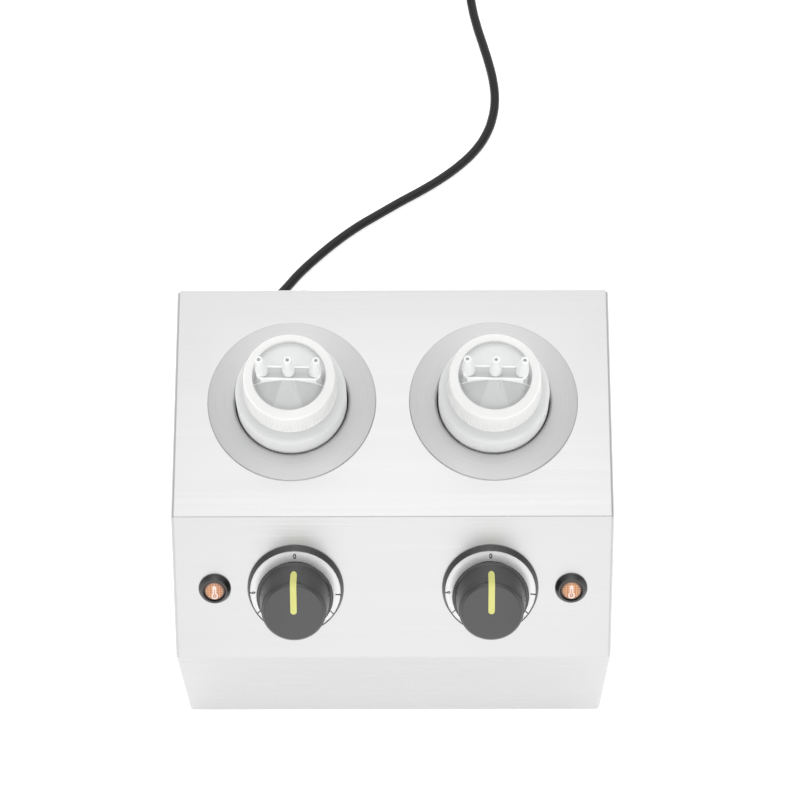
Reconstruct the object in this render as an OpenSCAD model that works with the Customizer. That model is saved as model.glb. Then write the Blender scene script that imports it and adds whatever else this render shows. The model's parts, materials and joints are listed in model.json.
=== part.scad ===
// Countertop topping warmer: two dry-heat wells, each with a squeeze bottle, a
// thermostat and a pilot lamp, in one folded stainless casing.
// Millimetres. Origin on the table under the middle of the casing, +X right,
// +Y to the rear, +Z up. Left and right are as seen from the front.

/* [Casing] */
// Width of the casing
casing_w = 280; // [270:2:300]
// Depth of the casing at its foot
casing_d = 228; // [224:2:250]
// Height of the folded casing, without its feet
casing_h = 200; // [196:1:204]
// Height of the upright front below the sloping panel
front_h = 130; // [124:1:134]
// Depth that the sloping panel takes, front to back
slope_run = 72; // [66:1:76]
// Thickness of the stainless sheet
sheet = 1; // [0.8:0.1:1.2]
// Outside radius of the folds
fold_r = 2; // [1.5:0.1:2.5]
// Width of the flanges that are folded inwards
flange_w = 12; // [11:1:14]

/* [Feet] */
// Widest diameter of a rubber foot
foot_d = 24; // [20:1:28]
// Height of a rubber foot
foot_h = 7; // [6:1:9]
// Distance from a foot's centre to the casing's side, front or rear
foot_inset = 22; // [20:1:28]

/* [Wells] */
// Distance between the axes of the two wells
well_spacing = 129; // [126:1:136]
// Place of the well axes behind the middle of the casing
well_y = 36; // [34:1:40]
// Inside diameter of a well
well_d = 74; // [73:0.5:76]
// Inside depth of a well below the top panel
well_depth = 168; // [160:1:172]
// Diameter of a well's flange on the top panel
well_flange_d = 108; // [104:1:112]

/* [Heating] */
// Thickness of a band heater
heater_t = 3; // [2:0.5:4]
// Height of a band heater
heater_h = 80; // [60:5:85]
// Thickness of the mineral wool sleeve
wool_t = 9; // [6:1:10]
// Height of the mineral wool sleeve
wool_h = 148; // [120:2:150]

/* [Dials] */
// Distance between the axes of the two dials
dial_spacing = 124; // [120:1:130]
// Place of the dials and lamps, measured up the slope from its lower fold
dial_up = 50; // [47:1:52]
// Diameter of a dial bezel where it meets the panel
bezel_d = 61.4; // [58:0.2:63]
// Height of a dial bezel
bezel_h = 5.8; // [5:0.1:6.5]
// Inside diameter of the silver dial ring
ring_bore = 43; // [42.6:0.2:46]
// Height of the dial ring's face
ring_face = 5.2; // [4.8:0.1:5.5]

/* [Knobs] */
// Diameter of a knob's skirt
knob_skirt_d = 48.8; // [48:0.2:49]
// Height of a skirt's rounded edge above the panel
skirt_top = 12.6; // [12:0.1:13.4]
// Diameter of a knob's face
knob_face_d = 40.4; // [38:0.2:42]
// Height of a knob's face above the panel
knob_top = 34.2; // [32:0.2:35]
// Width of the pointer line
pointer_w = 4; // [3:0.2:5]

/* [Lamps] */
// Distance between the axes of the two lamps
lamp_spacing = 227; // [222:1:232]
// Diameter of a lamp bezel
lamp_d = 20.6; // [18:0.2:22]
// Diameter of a lamp lens
lens_d = 13.7; // [12:0.1:14]

/* [Bottles] */
// Diameter of a bottle
bottle_d = 70.6; // [69:0.2:71.4]
// Height of a bottle's shoulder above the top panel
shoulder_up = 19; // [17:0.5:21]
// Diameter of the screw ring at its lower edge
cap_d = 59.8; // [58:0.2:61]
// Height of the screw ring
cap_h = 22.4; // [20:0.2:24]
// Diameter of the opening in the screw ring
cap_opening_d = 45.8; // [44:0.2:47]
// Height of the nozzle tips above the top panel
nozzle_up = 71.6; // [68:0.2:74]
// Distance between neighbouring nozzles
nozzle_spacing = 17.5; // [16:0.5:18]

/* [Power cord] */
// Diameter of the cord
cord_d = 6.8; // [6.4:0.1:7]
// Free space between neighbouring turns of the coil
turn_gap = 0.8; // [0.6:0.1:1.2]
// Diameter of the coil at the middle of its turns
coil_mean_d = 75; // [72:1:80]

/* [Hidden] */
$fn = 64;

// Small distances
running = 0.05;      // between a shaft and its bush, on the radius
thread = 0.02;       // between a screw and the thread that holds it, on the radius
clear = 0.2;         // through holes for screws, on the radius
gap = 0.3;           // between loose parts that move past each other
past = 1;            // how far a cut runs past the face that it opens

// Levels and faces of the casing
plate_z = foot_h;                    // underside of the base plate
casing_z = foot_h + sheet;           // lower edge of the folded casing
top_z = casing_z + casing_h;         // top panel
fold_z = casing_z + front_h;         // lower fold of the slope
front_y = -casing_d / 2;
rear_y = casing_d / 2;
back_y = rear_y - sheet;             // rear faces that the rear panel lies on
slope_y = front_y + slope_run;       // upper fold of the slope
slope_a = atan2(top_z - fold_z, slope_run);
side_x = casing_w / 2;
seam_x = side_x - fold_r;            // where the wrap meets the side panels
casing_outline = [[front_y, casing_z], [front_y, fold_z], [slope_y, top_z],
                  [back_y, top_z], [back_y, casing_z]];
arc_steps = 6;                       // straight pieces in the outline of a fold

m4_r = 2;
m5_r = 2.5;
pan_r = 3.8;                         // heads of the casing's screws
pan_h = 2.3;
side_screw_in = 7;                   // from the casing's side to its screws
side_screw_z = [30, 108, 178];
top_screw_x = 58;                    // rear screws that hold the top's flange
top_screw_z = top_z - 8.5;
plate_inset = 3;                     // from the casing's side to the base plate
base_screw_y = [-62, 0, 62];
vent_w = 4;                          // width of every vent slot
rear_vent = [[-30:30:90], [40:10:90], 22];   // places across and up, and their length
base_vent = [[-40:10:40], 44];               // places front to back, and their length
foot_recess_r = 5;                   // recess under a foot for its bolt
foot_recess_h = 3.2;
socket_af = 3;                       // socket in the head of a foot's bolt

// Wells
well_x = well_spacing / 2;
well_r = well_d / 2;
well_out_r = well_r + sheet;
well_floor_z = top_z - well_depth;   // inside bottom of a well
lip_r = 2;                           // rounding from the flange into the well
well_hole_r = well_out_r + lip_r - sheet + 0.5;
stud_circle_r = (well_hole_r + well_flange_d / 2) / 2;
stud_drop = 8;
stud_angles = [90, 210, 330];
nut4_af = 7;                         // M4 nut across its flats
nut4_h = 3.2;
nut5_af = 8;                         // M5 nut across its flats
nut5_h = 4;

// Heating
heater_z = well_floor_z + 16;
heater_r = well_out_r + heater_t;
heater_gap = 12;                     // opening of the band between its lugs
lug_t = 1.5;
lug_reach = 12;
lug_h = 14;
lug_end = 6;                         // from the band's upper and lower edge to its lugs
lug_places = [heater_z + lug_end, heater_z + heater_h - lug_end - lug_h];
wool_z = well_floor_z + 12;
wool_in_r = heater_r + 4;
wool_slot = 34;                      // front slot for the lugs and the sensor
bulb_r = 3;
bulb_h = 56;
bulb_z = heater_z + heater_h + 8;
bulb_y = well_y - well_out_r - bulb_r - 0.1;
clip_t = 0.7;
clip_h = 12;

// Dials, thermostats and knobs, in heights above the sloping panel
dial_x = dial_spacing / 2;
web_t = 1;                           // floor of the bezel under the knob
ring_t = 0.8;
bezel_top_r = 29.2;
ring_r = bezel_top_r - 0.3;
shaft_r = 3;
shaft_low = -14;
shaft_flat = 9;                      // where the shaft's flat starts
shaft_top = 28;
bush_r = 5;
bush_top = 2.6;
screw_x = 14;                        // thermostat screws, either side of the shaft
head_r = 3.6;
head_h = 2.2;
body_w = 46;
body_h = 38;
body_drop = 4;                       // from the panel's face to the thermostat body
body_t = 21;
bridge = [40, 18, 1.5];              // plate between the thermostat body and the panel
terminal_z = -14.4;
knob_boss_r = 7;                     // boss on the shaft, in the hollow knob
knob_hollow_r = 19;
knob_roof = 5;
knob_low = 4;
hub_r = 20.6;                        // the knob's lower part, inside the dial ring
knob_profile = [[hub_r, knob_low], [hub_r, skirt_top - 1.4],
                [knob_skirt_d / 2, skirt_top - 0.8], [knob_skirt_d / 2, skirt_top],
                [knob_skirt_d / 2 - 0.7, skirt_top + 0.7], [22.5, skirt_top + 1], [22.1, 15.5],
                [21.6, 19], [21.1, 24], [20.7, 29], [knob_face_d / 2, knob_top - 1.2],
                [knob_face_d / 2 - 0.3, knob_top - 0.4], [knob_face_d / 2 - 1, knob_top]];
pointer_t = 0.4;                     // how far the pointer stands out of the knob
pointer_low = 17;                    // lower end of the pointer on the knob's side
pointer_in = -2;                     // its other end, just past the face's centre

// Lamps, in heights above the sloping panel
lamp_x = lamp_spacing / 2;
lamp_h = 4.6;
lamp_top_r = 8.2;
lamp_neck_r = 6.2;
lamp_drop = 26;
lens_h = 3.4;
blade = [0.8, 4.8, 7.5];             // connector blades of lamps
blade_x = 3;

// Bottles, screw rings and nozzles
bottle_r = bottle_d / 2;
bottle_wall = 1.2;
shoulder_z = top_z + shoulder_up;
neck_r = 26.6;
neck_foot_z = shoulder_z + 3.4;
cap_z = neck_foot_z + 0.4;
cap_top_z = cap_z + cap_h;
cap_lid = 2;
flange_t = 1.4;                      // flange of the nozzle piece under the ring's lid
neck_top_z = cap_top_z - cap_lid - gap - flange_t;
nozzle_z = neck_top_z;
bar_z = top_z + 53;                  // top of the bar that carries the nozzles
bar_end_r = 5.4;
tip_z = top_z + nozzle_up;
nozzle_base_r = 4.1;
nozzle_tip_r = 2.2;
nozzle_bore_r = 1.15;
nozzle_wall = 1.2;
knurls = 72;
knurl_h = 14;
knurl_deep = 0.55;
thread_gap = 0.6;                    // free space round the neck in the screw ring

// Gland, terminal block and earth stud
gland_x = -100;
gland_z = 30;
gland_flange_r = 10;
gland_neck_r = 7.9;
gland_in = 8;                        // depth of the gland inside the rear panel
core_in = 18;                        // depth of the cord's own end inside it
gland_end_y = 140;                   // where the cord leaves its sleeve
block_at = [-98, 64, casing_z];
block_size = [34, 38, 19];
pole_pitch = 10;                     // between the poles of the terminal block
pole_r = 2.5;
pole_h = 8;
pole_screw_r = 2.4;
pole_screw_y = 10;
stud_at = [-70, 98, casing_z];
stud_h = 16;
lug_ring_z = 4;                      // the ring terminal lies between the stud's nuts
wire_d = 2.2;

// Cord: the route of its free part, which is chosen by hand
cord_r = cord_d / 2;
cord_route = [[-100, 140, 30], [-100, 147, 30], [-99.5, 155, 28], [-98.5, 163, 23.5],
              [-96.5, 171, 17.5], [-93.5, 179, 11], [-90, 187, 6.5], [-85, 195, 4],
              [-79, 202.5, 3.4], [-69, 214.5, 3.4], [-56.5, 227, 3.4], [-42.5, 239.5, 3.4],
              [-27.5, 251, 3.4], [-12, 261, 3.4], [4, 271, 3.4], [20, 280.5, 3.4],
              [35, 290.5, 3.4], [48, 301, 3.4], [59, 312.5, 3.4], [67, 325, 3.4],
              [72, 339, 3.4], [74, 354, 3.4], [73, 369, 3.4], [70, 384, 3.4],
              [66, 399, 3.4], [61.5, 415, 3.5], [58, 431, 3.7], [56, 447, 4],
              [55, 463, 4.2], [55, 476, 4.2], [55, 482, 4.2]];
coil_turns = 2;                      // turns in each of the two layers
coil_steps = 24;                     // rings in one turn
coil_over = 7;                       // rings that the coil runs past its whole turns
turn_pitch = cord_d + turn_gap;
coil_start_r = coil_mean_d / 2 + turn_pitch;
coil_z = 4.2;
coil_rise = 7.4;                     // from the lower layer up to the upper one
coil_at = [55 - coil_start_r, 482 + cord_d];
tie_t = 0.8;
tie_w = 10;
tie_reach = [27, 45.7];             // inner faces of the tie, from the coil's axis
tie_inside_h = 14.5;
tie_r = 3;
coil_count = 2 * coil_turns * coil_steps + coil_over;
coil_out_a = coil_over * 360 / coil_steps;
coil_out = [-sin(coil_out_a), cos(coil_out_a), 0];
coil_path = concat([coil_ring(0) - [0, cord_d, 0]], [for (k = [0:coil_count]) coil_ring(k)],
                   [coil_ring(coil_count) + cord_d * coil_out]);
// The short lead from the coil to the plug: distance along it and height, chosen by hand
lead_route = [[0, 11.6], [7, 11.6], [14, 12.3], [21, 14.2], [28, 16.4], [36, 18.1],
              [43, 18.5], [50, 18.5]];
lead_start = coil_path[len(coil_path) - 1];
lead_path = [for (q = lead_route) [lead_start[0] + q[0] * coil_out[0],
                                   lead_start[1] + q[0] * coil_out[1], q[1]]];

// Plug, in distances from the end of the cord
plug_relief = 24;
plug_face = 60;
plug_r = 18.5;
pin_r = 2.4;
pin_in = 8;
pin_out = 19;
pin_x = 9.5;
pin_nose = 0.9;
groove_w = 6;
groove_deep = 2.6;
contact_t = 0.8;
contact_h = 14;

// Plain functions
function unit(v) = v / norm(v);
function right(v) = [v[1], -v[0]];
function reversed(p) = [for (i = [len(p) - 1:-1:0]) p[i]];
function mirrored(p, s) = [for (q = p) [s * q[0], q[1], q[2]]];
function ease(x) = let (u = max(0, min(1, x))) u * u * (3 - 2 * u);

// A line of points moved sideways by d, to the right of the way that it runs
function side_of(p, i) = right(unit(p[i + 1] - p[i]));
function shifted(p, d) = [for (i = [0:len(p) - 1])
    i == 0 ? p[0] + d * side_of(p, 0)
    : i == len(p) - 1 ? p[i] + d * side_of(p, i - 1)
    : let (a = side_of(p, i - 1), b = side_of(p, i)) p[i] + d * (a + b) / (1 + a * b)];

// The round that replaces corner b between its neighbours a and c
function corner(a, b, c, r) = r < 0.01 ? [b] :
    let (u = unit(a - b), v = unit(c - b), half = acos(u * v) / 2,
         mid = b + unit(u + v) * r / sin(half), first = b + u * r / tan(half) - mid,
         turn = (180 - 2 * half) * sign(cross(u, v)) * -1)
    [for (k = [0:arc_steps]) let (w = turn * k / arc_steps)
        mid + [first[0] * cos(w) - first[1] * sin(w), first[0] * sin(w) + first[1] * cos(w)]];
function filleted(p, radii) = concat([p[0]],
    [for (i = [1:len(p) - 2]) each corner(p[i - 1], p[i], p[i + 1], radii[i - 1])],
    [p[len(p) - 1]]);
function rounded(p, r) = let (n = len(p))
    [for (i = [0:n - 1]) each corner(p[(i + n - 1) % n], p[i], p[(i + 1) % n], r)];
function inset(p, d) = let (n = len(p))
    [for (i = [0:n - 1])
        let (a = right(unit(p[i] - p[(i + n - 1) % n])), b = right(unit(p[(i + 1) % n] - p[i])))
        p[i] + d * (a + b) / (1 + a * b)];

// A wall of even thickness along a line of points, as a 2-D outline
function wall_outline(p, radii, t) =
    let (flips = [for (i = [1:len(p) - 2])
            sign(cross(p[i] - p[i - 1], p[i + 1] - p[i])) * sign(t)])
    concat(filleted(p, radii), reversed(filleted(shifted(p, t),
        [for (i = [0:len(radii) - 1]) radii[i] + flips[i] * abs(t)])));

// Rings along a tube: each keeps the last one's direction, turned square to the tube
function along(p, i) = unit(p[min(i + 1, len(p) - 1)] - p[max(i - 1, 0)]);
function squared(v, t) = unit(v - (v * t) * t);
function ring_sides(p, i, last) = i == len(p) ? [] :
    let (s = squared(last, along(p, i))) concat([s], ring_sides(p, i + 1, s));
function first_side(p) = let (t = along(p, 0))
    squared(abs(t[2]) < 0.9 ? [0, 0, 1] : [1, 0, 0], t);

module tube(p, d, sides) {
    s = ring_sides(p, 0, first_side(p));
    rings = [for (i = [0:len(p) - 1]) let (t = along(p, i), w = cross(t, s[i]))
        for (k = [0:sides - 1]) let (a = 360 * (k + 0.5) / sides)
            p[i] + d / 2 * (cos(a) * s[i] + sin(a) * w)];
    last = (len(p) - 1) * sides;
    walls = [for (i = [0:len(p) - 2]) for (k = [0:sides - 1])
        let (a = i * sides + k, b = i * sides + (k + 1) % sides)
        each [[a, a + sides, b + sides], [a, b + sides, b]]];
    ends = [for (k = [1:sides - 2]) each [[0, k, k + 1], [last, last + k + 1, last + k]]];
    polyhedron(rings, concat(walls, ends));
}

// The coil: it spirals in on the table and out again on top, climbing at the turn
function coil_ring(k) =
    let (a = k * 360 / coil_steps,
         r = coil_start_r - turn_pitch * min(k, coil_count - k) / coil_steps,
         up = ease((k - coil_count / 2) / (coil_steps / 2) + 0.5))
    [coil_at[0] + r * cos(a), coil_at[1] + r * sin(a), coil_z + coil_rise * up];
coil_gaps = [for (i = [0:len(coil_path) - 1])
    for (j = [i + coil_steps / 2:1:len(coil_path) - 1]) norm(coil_path[i] - coil_path[j])];
echo("Least gap between the turns of the coil, mm", min(coil_gaps) - cord_d);
function length_of(p, i = 1) = i == len(p) ? 0 : norm(p[i] - p[i - 1]) + length_of(p, i + 1);
echo("Length of the cord, mm", length_of(cord_route), length_of(coil_path), length_of(lead_path));

// Places
module along_x(w) { translate([-w / 2, 0, 0]) rotate([90, 0, 90]) linear_extrude(w) children(); }
module on_slope(x) {
    translate([x, front_y, fold_z]) rotate([slope_a, 0, 0]) translate([0, dial_up, 0]) children();
}
module at_well(s) { translate([s * well_x, well_y, 0]) children(); }
module on_rear(x, z) { translate([x, rear_y, z]) rotate([-90, 0, 0]) children(); }
module at_plug() {
    translate(plug_from) rotate([0, 0, 90 + coil_out_a]) rotate([0, 90, 0]) children();
}
plug_from = lead_path[len(lead_path) - 1];
foot_places = [for (x = [-1, 1]) for (y = [-1, 1])
    [x * (side_x - foot_inset), y * (rear_y - foot_inset), 0]];
rear_screw_places = concat([for (s = [-1, 1]) for (z = side_screw_z)
                               [s * (side_x - side_screw_in), z]],
                           [for (s = [-1, 1]) [s * top_screw_x, top_screw_z]]);
base_screw_places = [for (s = [-1, 1]) for (y = base_screw_y) [s * (side_x - side_screw_in), y]];

// Plain shapes
module rod(r, from, to) { translate([0, 0, from]) cylinder(r = r, h = to - from); }
module hexagon(af, from, to) {
    translate([0, 0, from]) cylinder(r = af / sqrt(3), h = to - from, $fn = 6);
}
module slot(w, h, deep) {
    for (s = [-1, 1]) translate([s * (w - h) / 2, 0, 0]) rod(h / 2, -deep, deep);
    translate([-(w - h) / 2, -h / 2, -deep]) cube([w - h, h, 2 * deep]);
}
module pan_screw(head, high, shank, long) {
    difference() {
        rotate_extrude() polygon([[0, 0], [head, 0], [head, high * 0.4], [head * 0.75, high * 0.85],
                                  [head * 0.4, high], [0, high]]);
        for (a = [0, 90]) rotate([0, 0, a])
            translate([-head * 0.5, -0.4, high * 0.45]) cube([head, 0.8, high]);
    }
    rod(shank, -long, 0);
}
module steel() { color([0.82, 0.83, 0.84]) children(); }

// Casing
module wrap_holes() {
    for (s = [-1, 1]) {
        at_well(s) {
            rod(well_hole_r, top_z - 5, top_z + past);
            for (a = stud_angles) rotate([0, 0, a])
                translate([stud_circle_r, 0, 0]) rod(m4_r + clear, top_z - 5, top_z + past);
        }
        on_slope(s * dial_x) {
            rod(bush_r + clear, -5, past);
            for (t = [-1, 1]) translate([t * screw_x, 0, 0]) rod(m4_r + clear, -5, past);
        }
        on_slope(s * lamp_x) rod(lamp_neck_r + clear, -5, past);
        on_rear(s * top_screw_x, top_screw_z) rod(m4_r + thread, -5, past);
    }
}
module casing_wrap() {
    path = [[front_y + flange_w, casing_z], [front_y, casing_z], [front_y, fold_z],
            [slope_y, top_z], [back_y, top_z], [back_y, top_z - flange_w]];
    steel() difference() {
        along_x(2 * seam_x) polygon(wall_outline(path, [for (i = [1:4]) fold_r], sheet));
        wrap_holes();
    }
}
// The casing's form near one side, its edges rounded, drawn in by d
module side_form(d) {
    r = fold_r - d;
    hull() for (k = [0:arc_steps]) let (a = 90 * k / arc_steps, x = side_x - fold_r + r * sin(a))
        translate([x - (k == 0 ? 2 * flange_w : 0.02), 0, 0]) rotate([90, 0, 90])
            linear_extrude(k == 0 ? 2 * flange_w : 0.02)
                polygon(rounded(inset(casing_outline, d + r * (1 - cos(a))),
                                max(0.1, r * cos(a))));
}
module side_panel(s) {
    low = [side_x - flange_w, front_y + flange_w + past, casing_z - past];
    steel() mirror([s < 0 ? 1 : 0, 0, 0]) difference() {
        intersection() {
            side_form(0);
            union() {
                translate([seam_x, front_y - past, casing_z - past])
                    cube([fold_r + past, casing_d + past, casing_h + 2 * past]);
                translate(low) cube([flange_w, casing_d - flange_w, fold_r + past]);
                translate([low[0], back_y - fold_r, casing_z + fold_r])
                    cube([flange_w, fold_r, casing_h - flange_w - fold_r - past]);
            }
        }
        side_form(sheet);
        for (p = base_screw_places) if (p[0] > 0) translate(p) rod(m4_r + thread, 0, casing_z + 5);
        for (p = rear_screw_places) if (p[0] > seam_x - flange_w) on_rear(p[0], p[1])
            rod(m4_r + thread, -5, past);
    }
}
module rear_panel() {
    steel() difference() {
        translate([0, rear_y, 0]) rotate([90, 0, 0]) linear_extrude(sheet)
            polygon(rounded([[-seam_x, casing_z + 0.5], [-seam_x, top_z - fold_r],
                             [seam_x, top_z - fold_r], [seam_x, casing_z + 0.5]], 1));
        for (p = rear_screw_places) on_rear(p[0], p[1]) rod(m4_r + clear, -5, past);
        on_rear(gland_x, gland_z) rod(gland_neck_r + clear / 2, -5, past);
        for (x = rear_vent[0]) for (z = rear_vent[1]) on_rear(x, z) slot(rear_vent[2], vent_w, 5);
    }
}
module rear_screws() {
    steel() for (p = rear_screw_places) on_rear(p[0], p[1]) pan_screw(pan_r, pan_h, m4_r, 8);
}
module base_plate() {
    steel() difference() {
        translate([0, 0, plate_z]) linear_extrude(sheet)
            polygon(rounded([for (q = [[-1, -1], [-1, 1], [1, 1], [1, -1]])
                [q[0] * (side_x - plate_inset), q[1] * (rear_y - plate_inset)]], plate_inset));
        for (p = foot_places) translate(p) rod(m5_r + clear, 0, casing_z + 5);
        for (p = base_screw_places) translate(p) rod(m4_r + clear, 0, casing_z + 5);
        translate(stud_at) rod(m5_r + thread, -5, 5);
        for (s = [-1, 1]) for (y = base_vent[0])
            translate([s * well_x, y, casing_z]) slot(base_vent[1], vent_w, 5);
    }
}
module base_screws() {
    steel() for (p = base_screw_places) translate([p[0], p[1], plate_z])
        rotate([180, 0, 0]) pan_screw(pan_r, pan_h, m4_r, 7);
}

// Feet
module foot(i) {
    color([0.09, 0.09, 0.1]) translate(foot_places[i]) difference() {
        rotate_extrude() polygon([[0, 0], [foot_d / 2 - 2, 0], [foot_d / 2 - 1.4, 0.6],
                                  [foot_d / 2, foot_h - 0.6], [foot_d / 2 - 0.4, foot_h],
                                  [0, foot_h]]);
        rod(foot_recess_r, -past, foot_recess_h);
        rod(m5_r + clear, 0, foot_h + past);
    }
}
// A bolt up through each foot and the base plate, with its nut
module foot_bolts() {
    steel() for (p = foot_places) translate(p) {
        difference() {
            rod(foot_recess_r - 0.6, 0.6, foot_recess_h);
            hexagon(socket_af, -past, 2);
        }
        rod(m5_r, foot_recess_h, foot_h + 10);
        difference() {
            hexagon(nut5_af, casing_z, casing_z + nut5_h);
            rod(m5_r + thread, 0, foot_h + 10);
        }
    }
}

// Wells
module well(s) {
    path = [[well_flange_d / 2, top_z + sheet], [well_r, top_z + sheet],
            [well_r, well_floor_z], [0, well_floor_z]];
    steel() at_well(s) {
        rotate_extrude() polygon(wall_outline(path, [lip_r, 3], -sheet));
        for (a = stud_angles) rotate([0, 0, a]) translate([stud_circle_r, 0, 0])
            rod(m4_r, top_z - stud_drop, top_z + sheet / 2);
    }
}
module well_nuts() {
    steel() for (s = [-1, 1]) at_well(s) for (a = stud_angles) rotate([0, 0, a])
        translate([stud_circle_r, 0, 0]) difference() {
            hexagon(nut4_af, top_z - sheet - nut4_h, top_z - sheet);
            rod(m4_r + thread, top_z - stud_drop, top_z);
        }
}

// Heating
module front_gap(w, z, h) {
    translate([-w / 2, -heater_r - wool_t - 20, z - past])
        cube([w, heater_r + wool_t + 20, h + 2 * past]);
}
module heater(s) {
    color([0.72, 0.6, 0.36]) at_well(s) {
        difference() {
            rod(heater_r, heater_z, heater_z + heater_h);
            rod(well_out_r, heater_z - past, heater_z + heater_h + past);
            front_gap(heater_gap, heater_z, heater_h);
        }
        for (t = [-1, 1]) for (z = lug_places) difference() {
            translate([t > 0 ? heater_gap / 2 : -heater_gap / 2 - lug_t,
                       -heater_r - lug_reach, z])
                cube([lug_t, lug_reach + 1, lug_h]);
            at_lug(z) rod(m4_r + clear, -heater_gap, heater_gap);
        }
    }
}
module at_lug(z) {
    translate([0, -heater_r - lug_reach / 2, z + lug_h / 2]) rotate([0, 90, 0]) children();
}
module heater_bolts() {
    face = heater_gap / 2 + lug_t;
    steel() for (s = [-1, 1]) at_well(s) for (z = lug_places) at_lug(z) {
        hexagon(nut4_af, face, face + nut4_h);
        rod(m4_r, -face - 2.5, face + 0.5);
    }
}
module wool(s) {
    color([0.86, 0.82, 0.7]) at_well(s) difference() {
        rod(wool_in_r + wool_t, wool_z, wool_z + wool_h);
        rod(wool_in_r, wool_z - past, wool_z + wool_h + past);
        front_gap(wool_slot, wool_z, wool_h);
    }
}

// Thermostats: body and bush, with the sensor's thin tube and bulb
module thermostat(s) {
    color([0.78, 0.76, 0.7]) on_slope(s * dial_x) difference() {
        union() {
            translate([-body_w / 2, -body_h / 2, -body_drop - body_t])
                cube([body_w, body_h, body_t]);
            rod(bridge[1] / 2, -body_drop, -sheet - bridge[2]);
            translate([-bridge[0] / 2, -bridge[1] / 2, -sheet - bridge[2]]) cube(bridge);
            rod(bush_r, -body_drop, bush_top);
            for (t = [-1, 1]) translate([t * 10 - 3, -body_h / 2 - 7, terminal_z]) cube([6, 8, 0.8]);
        }
        rod(shaft_r + running, shaft_low - past, bush_top + past);
        for (t = [-1, 1]) translate([t * screw_x, 0, 0]) rod(m4_r + thread, -body_drop, 0);
    }
}
module thermostat_screws() {
    steel() for (s = [-1, 1]) on_slope(s * dial_x) for (t = [-1, 1])
        translate([t * screw_x, 0, web_t]) pan_screw(head_r, head_h, m4_r, 4.4);
}
module sensor(s) {
    route = [[66, -53, 161.5], [66, -46, 166], [66, -36, 167], [66, -26, 160], [65.5, -15, 149],
             [64.5, -8, 145], [64.5, bulb_y, 147], [64.5, bulb_y, bulb_z + 1]];
    color([0.76, 0.48, 0.3]) {
        translate([s * well_x, bulb_y, 0]) rod(bulb_r, bulb_z, bulb_z + bulb_h);
        tube(mirrored(route, s), 1.8, 6);
    }
}
module sensor_clips() {
    out = well_out_r + 0.05;
    steel() for (s = [-1, 1]) at_well(s) translate([0, 0, bulb_z + bulb_h - clip_h - 8]) {
        difference() {
            rod(out + clip_t, 0, clip_h);
            rod(out, -past, clip_h + past);
            translate([-bulb_r - 0.2, -out - past * 2, -past])
                cube([2 * bulb_r + 0.4, 6, clip_h + 2 * past]);
        }
        difference() {
            translate([-bulb_r - 0.2 - clip_t, -out - 2 * bulb_r - 1.2, 0])
                cube([2 * (bulb_r + 0.2 + clip_t), 2 * bulb_r + 1.2, clip_h]);
            translate([-bulb_r - 0.2, -out - 2 * bulb_r - 1.2 + clip_t, -past])
                cube([2 * bulb_r + 0.4, 2 * bulb_r + 2, clip_h + 2 * past]);
            rod(out, -past, clip_h + past);
        }
    }
}

// Dials and knobs: the silver ring lies in the bezel, and the knob's skirt floats above it
module bezel(s) {
    recess = ring_bore / 2 - 0.1;
    rim = bezel_top_r - 0.25;
    color([0.1, 0.1, 0.11]) on_slope(s * dial_x) difference() {
        rotate_extrude() polygon([[bush_r + clear, 0], [bezel_d / 2, 0], [bezel_d / 2, 0.8],
                                  [bezel_top_r, bezel_h], [rim, bezel_h],
                                  [rim, ring_face - ring_t], [recess, ring_face - ring_t],
                                  [recess, web_t],
                                  [bush_r + clear, web_t]]);
        for (t = [-1, 1]) translate([t * screw_x, 0, 0]) rod(m4_r + clear, -past, web_t + past);
    }
}
module dial_ring(s) {
    color([0.9, 0.9, 0.91]) on_slope(s * dial_x) rotate_extrude()
        translate([ring_bore / 2, ring_face - ring_t]) square([ring_r - ring_bore / 2, ring_t]);
}
// The flattened end of the shaft, as an outline
module shaft_end(r) {
    difference() {
        circle(r);
        translate([-2 * r, r - 1]) square([4 * r, 2 * r]);
    }
}
module shaft(s) {
    steel() on_slope(s * dial_x) {
        rod(shaft_r, shaft_low, shaft_flat);
        translate([0, 0, shaft_flat]) linear_extrude(shaft_top - shaft_flat) shaft_end(shaft_r);
    }
}
module knob(s) {
    color([0.27, 0.27, 0.28]) on_slope(s * dial_x) difference() {
        rotate_extrude() polygon(concat([[0, knob_low]], knob_profile, [[0, knob_top]]));
        rod(shaft_r + thread, knob_low - past, shaft_flat + clear);
        translate([0, 0, shaft_flat]) linear_extrude(shaft_top - shaft_flat + clear)
            shaft_end(shaft_r + thread);
        difference() {
            rod(knob_hollow_r, knob_low - past, knob_top - knob_roof);
            rod(knob_boss_r, knob_low - past, knob_top);
        }
    }
}
module pointer(s) {
    grown = [for (q = knob_profile) if (q[1] > skirt_top + 0.9) [q[0] + pointer_t, q[1]]];
    top = knob_top + pointer_t;
    side = grown[len(grown) - 3][0];
    color([0.88, 0.9, 0.5]) on_slope(s * dial_x) difference() {
        intersection() {
            rotate_extrude() polygon(concat([[0, pointer_low - 3]],
                [for (q = grown) [q[0], min(q[1] + pointer_t, top)]], [[0, top]]));
            union() {
                translate([-pointer_w / 2, pointer_in + pointer_w / 2, pointer_low + pointer_w / 2])
                    cube([pointer_w, 40, 40]);
                translate([0, pointer_in + pointer_w / 2, 0]) rod(pointer_w / 2, knob_top - 1, 40);
                translate([0, 10, pointer_low + pointer_w / 2]) rotate([-90, 0, 0])
                    rod(pointer_w / 2, 0, side);
            }
        }
        rotate_extrude() polygon(concat([[0, knob_low]], knob_profile, [[0, knob_top]]));
    }
}

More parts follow.
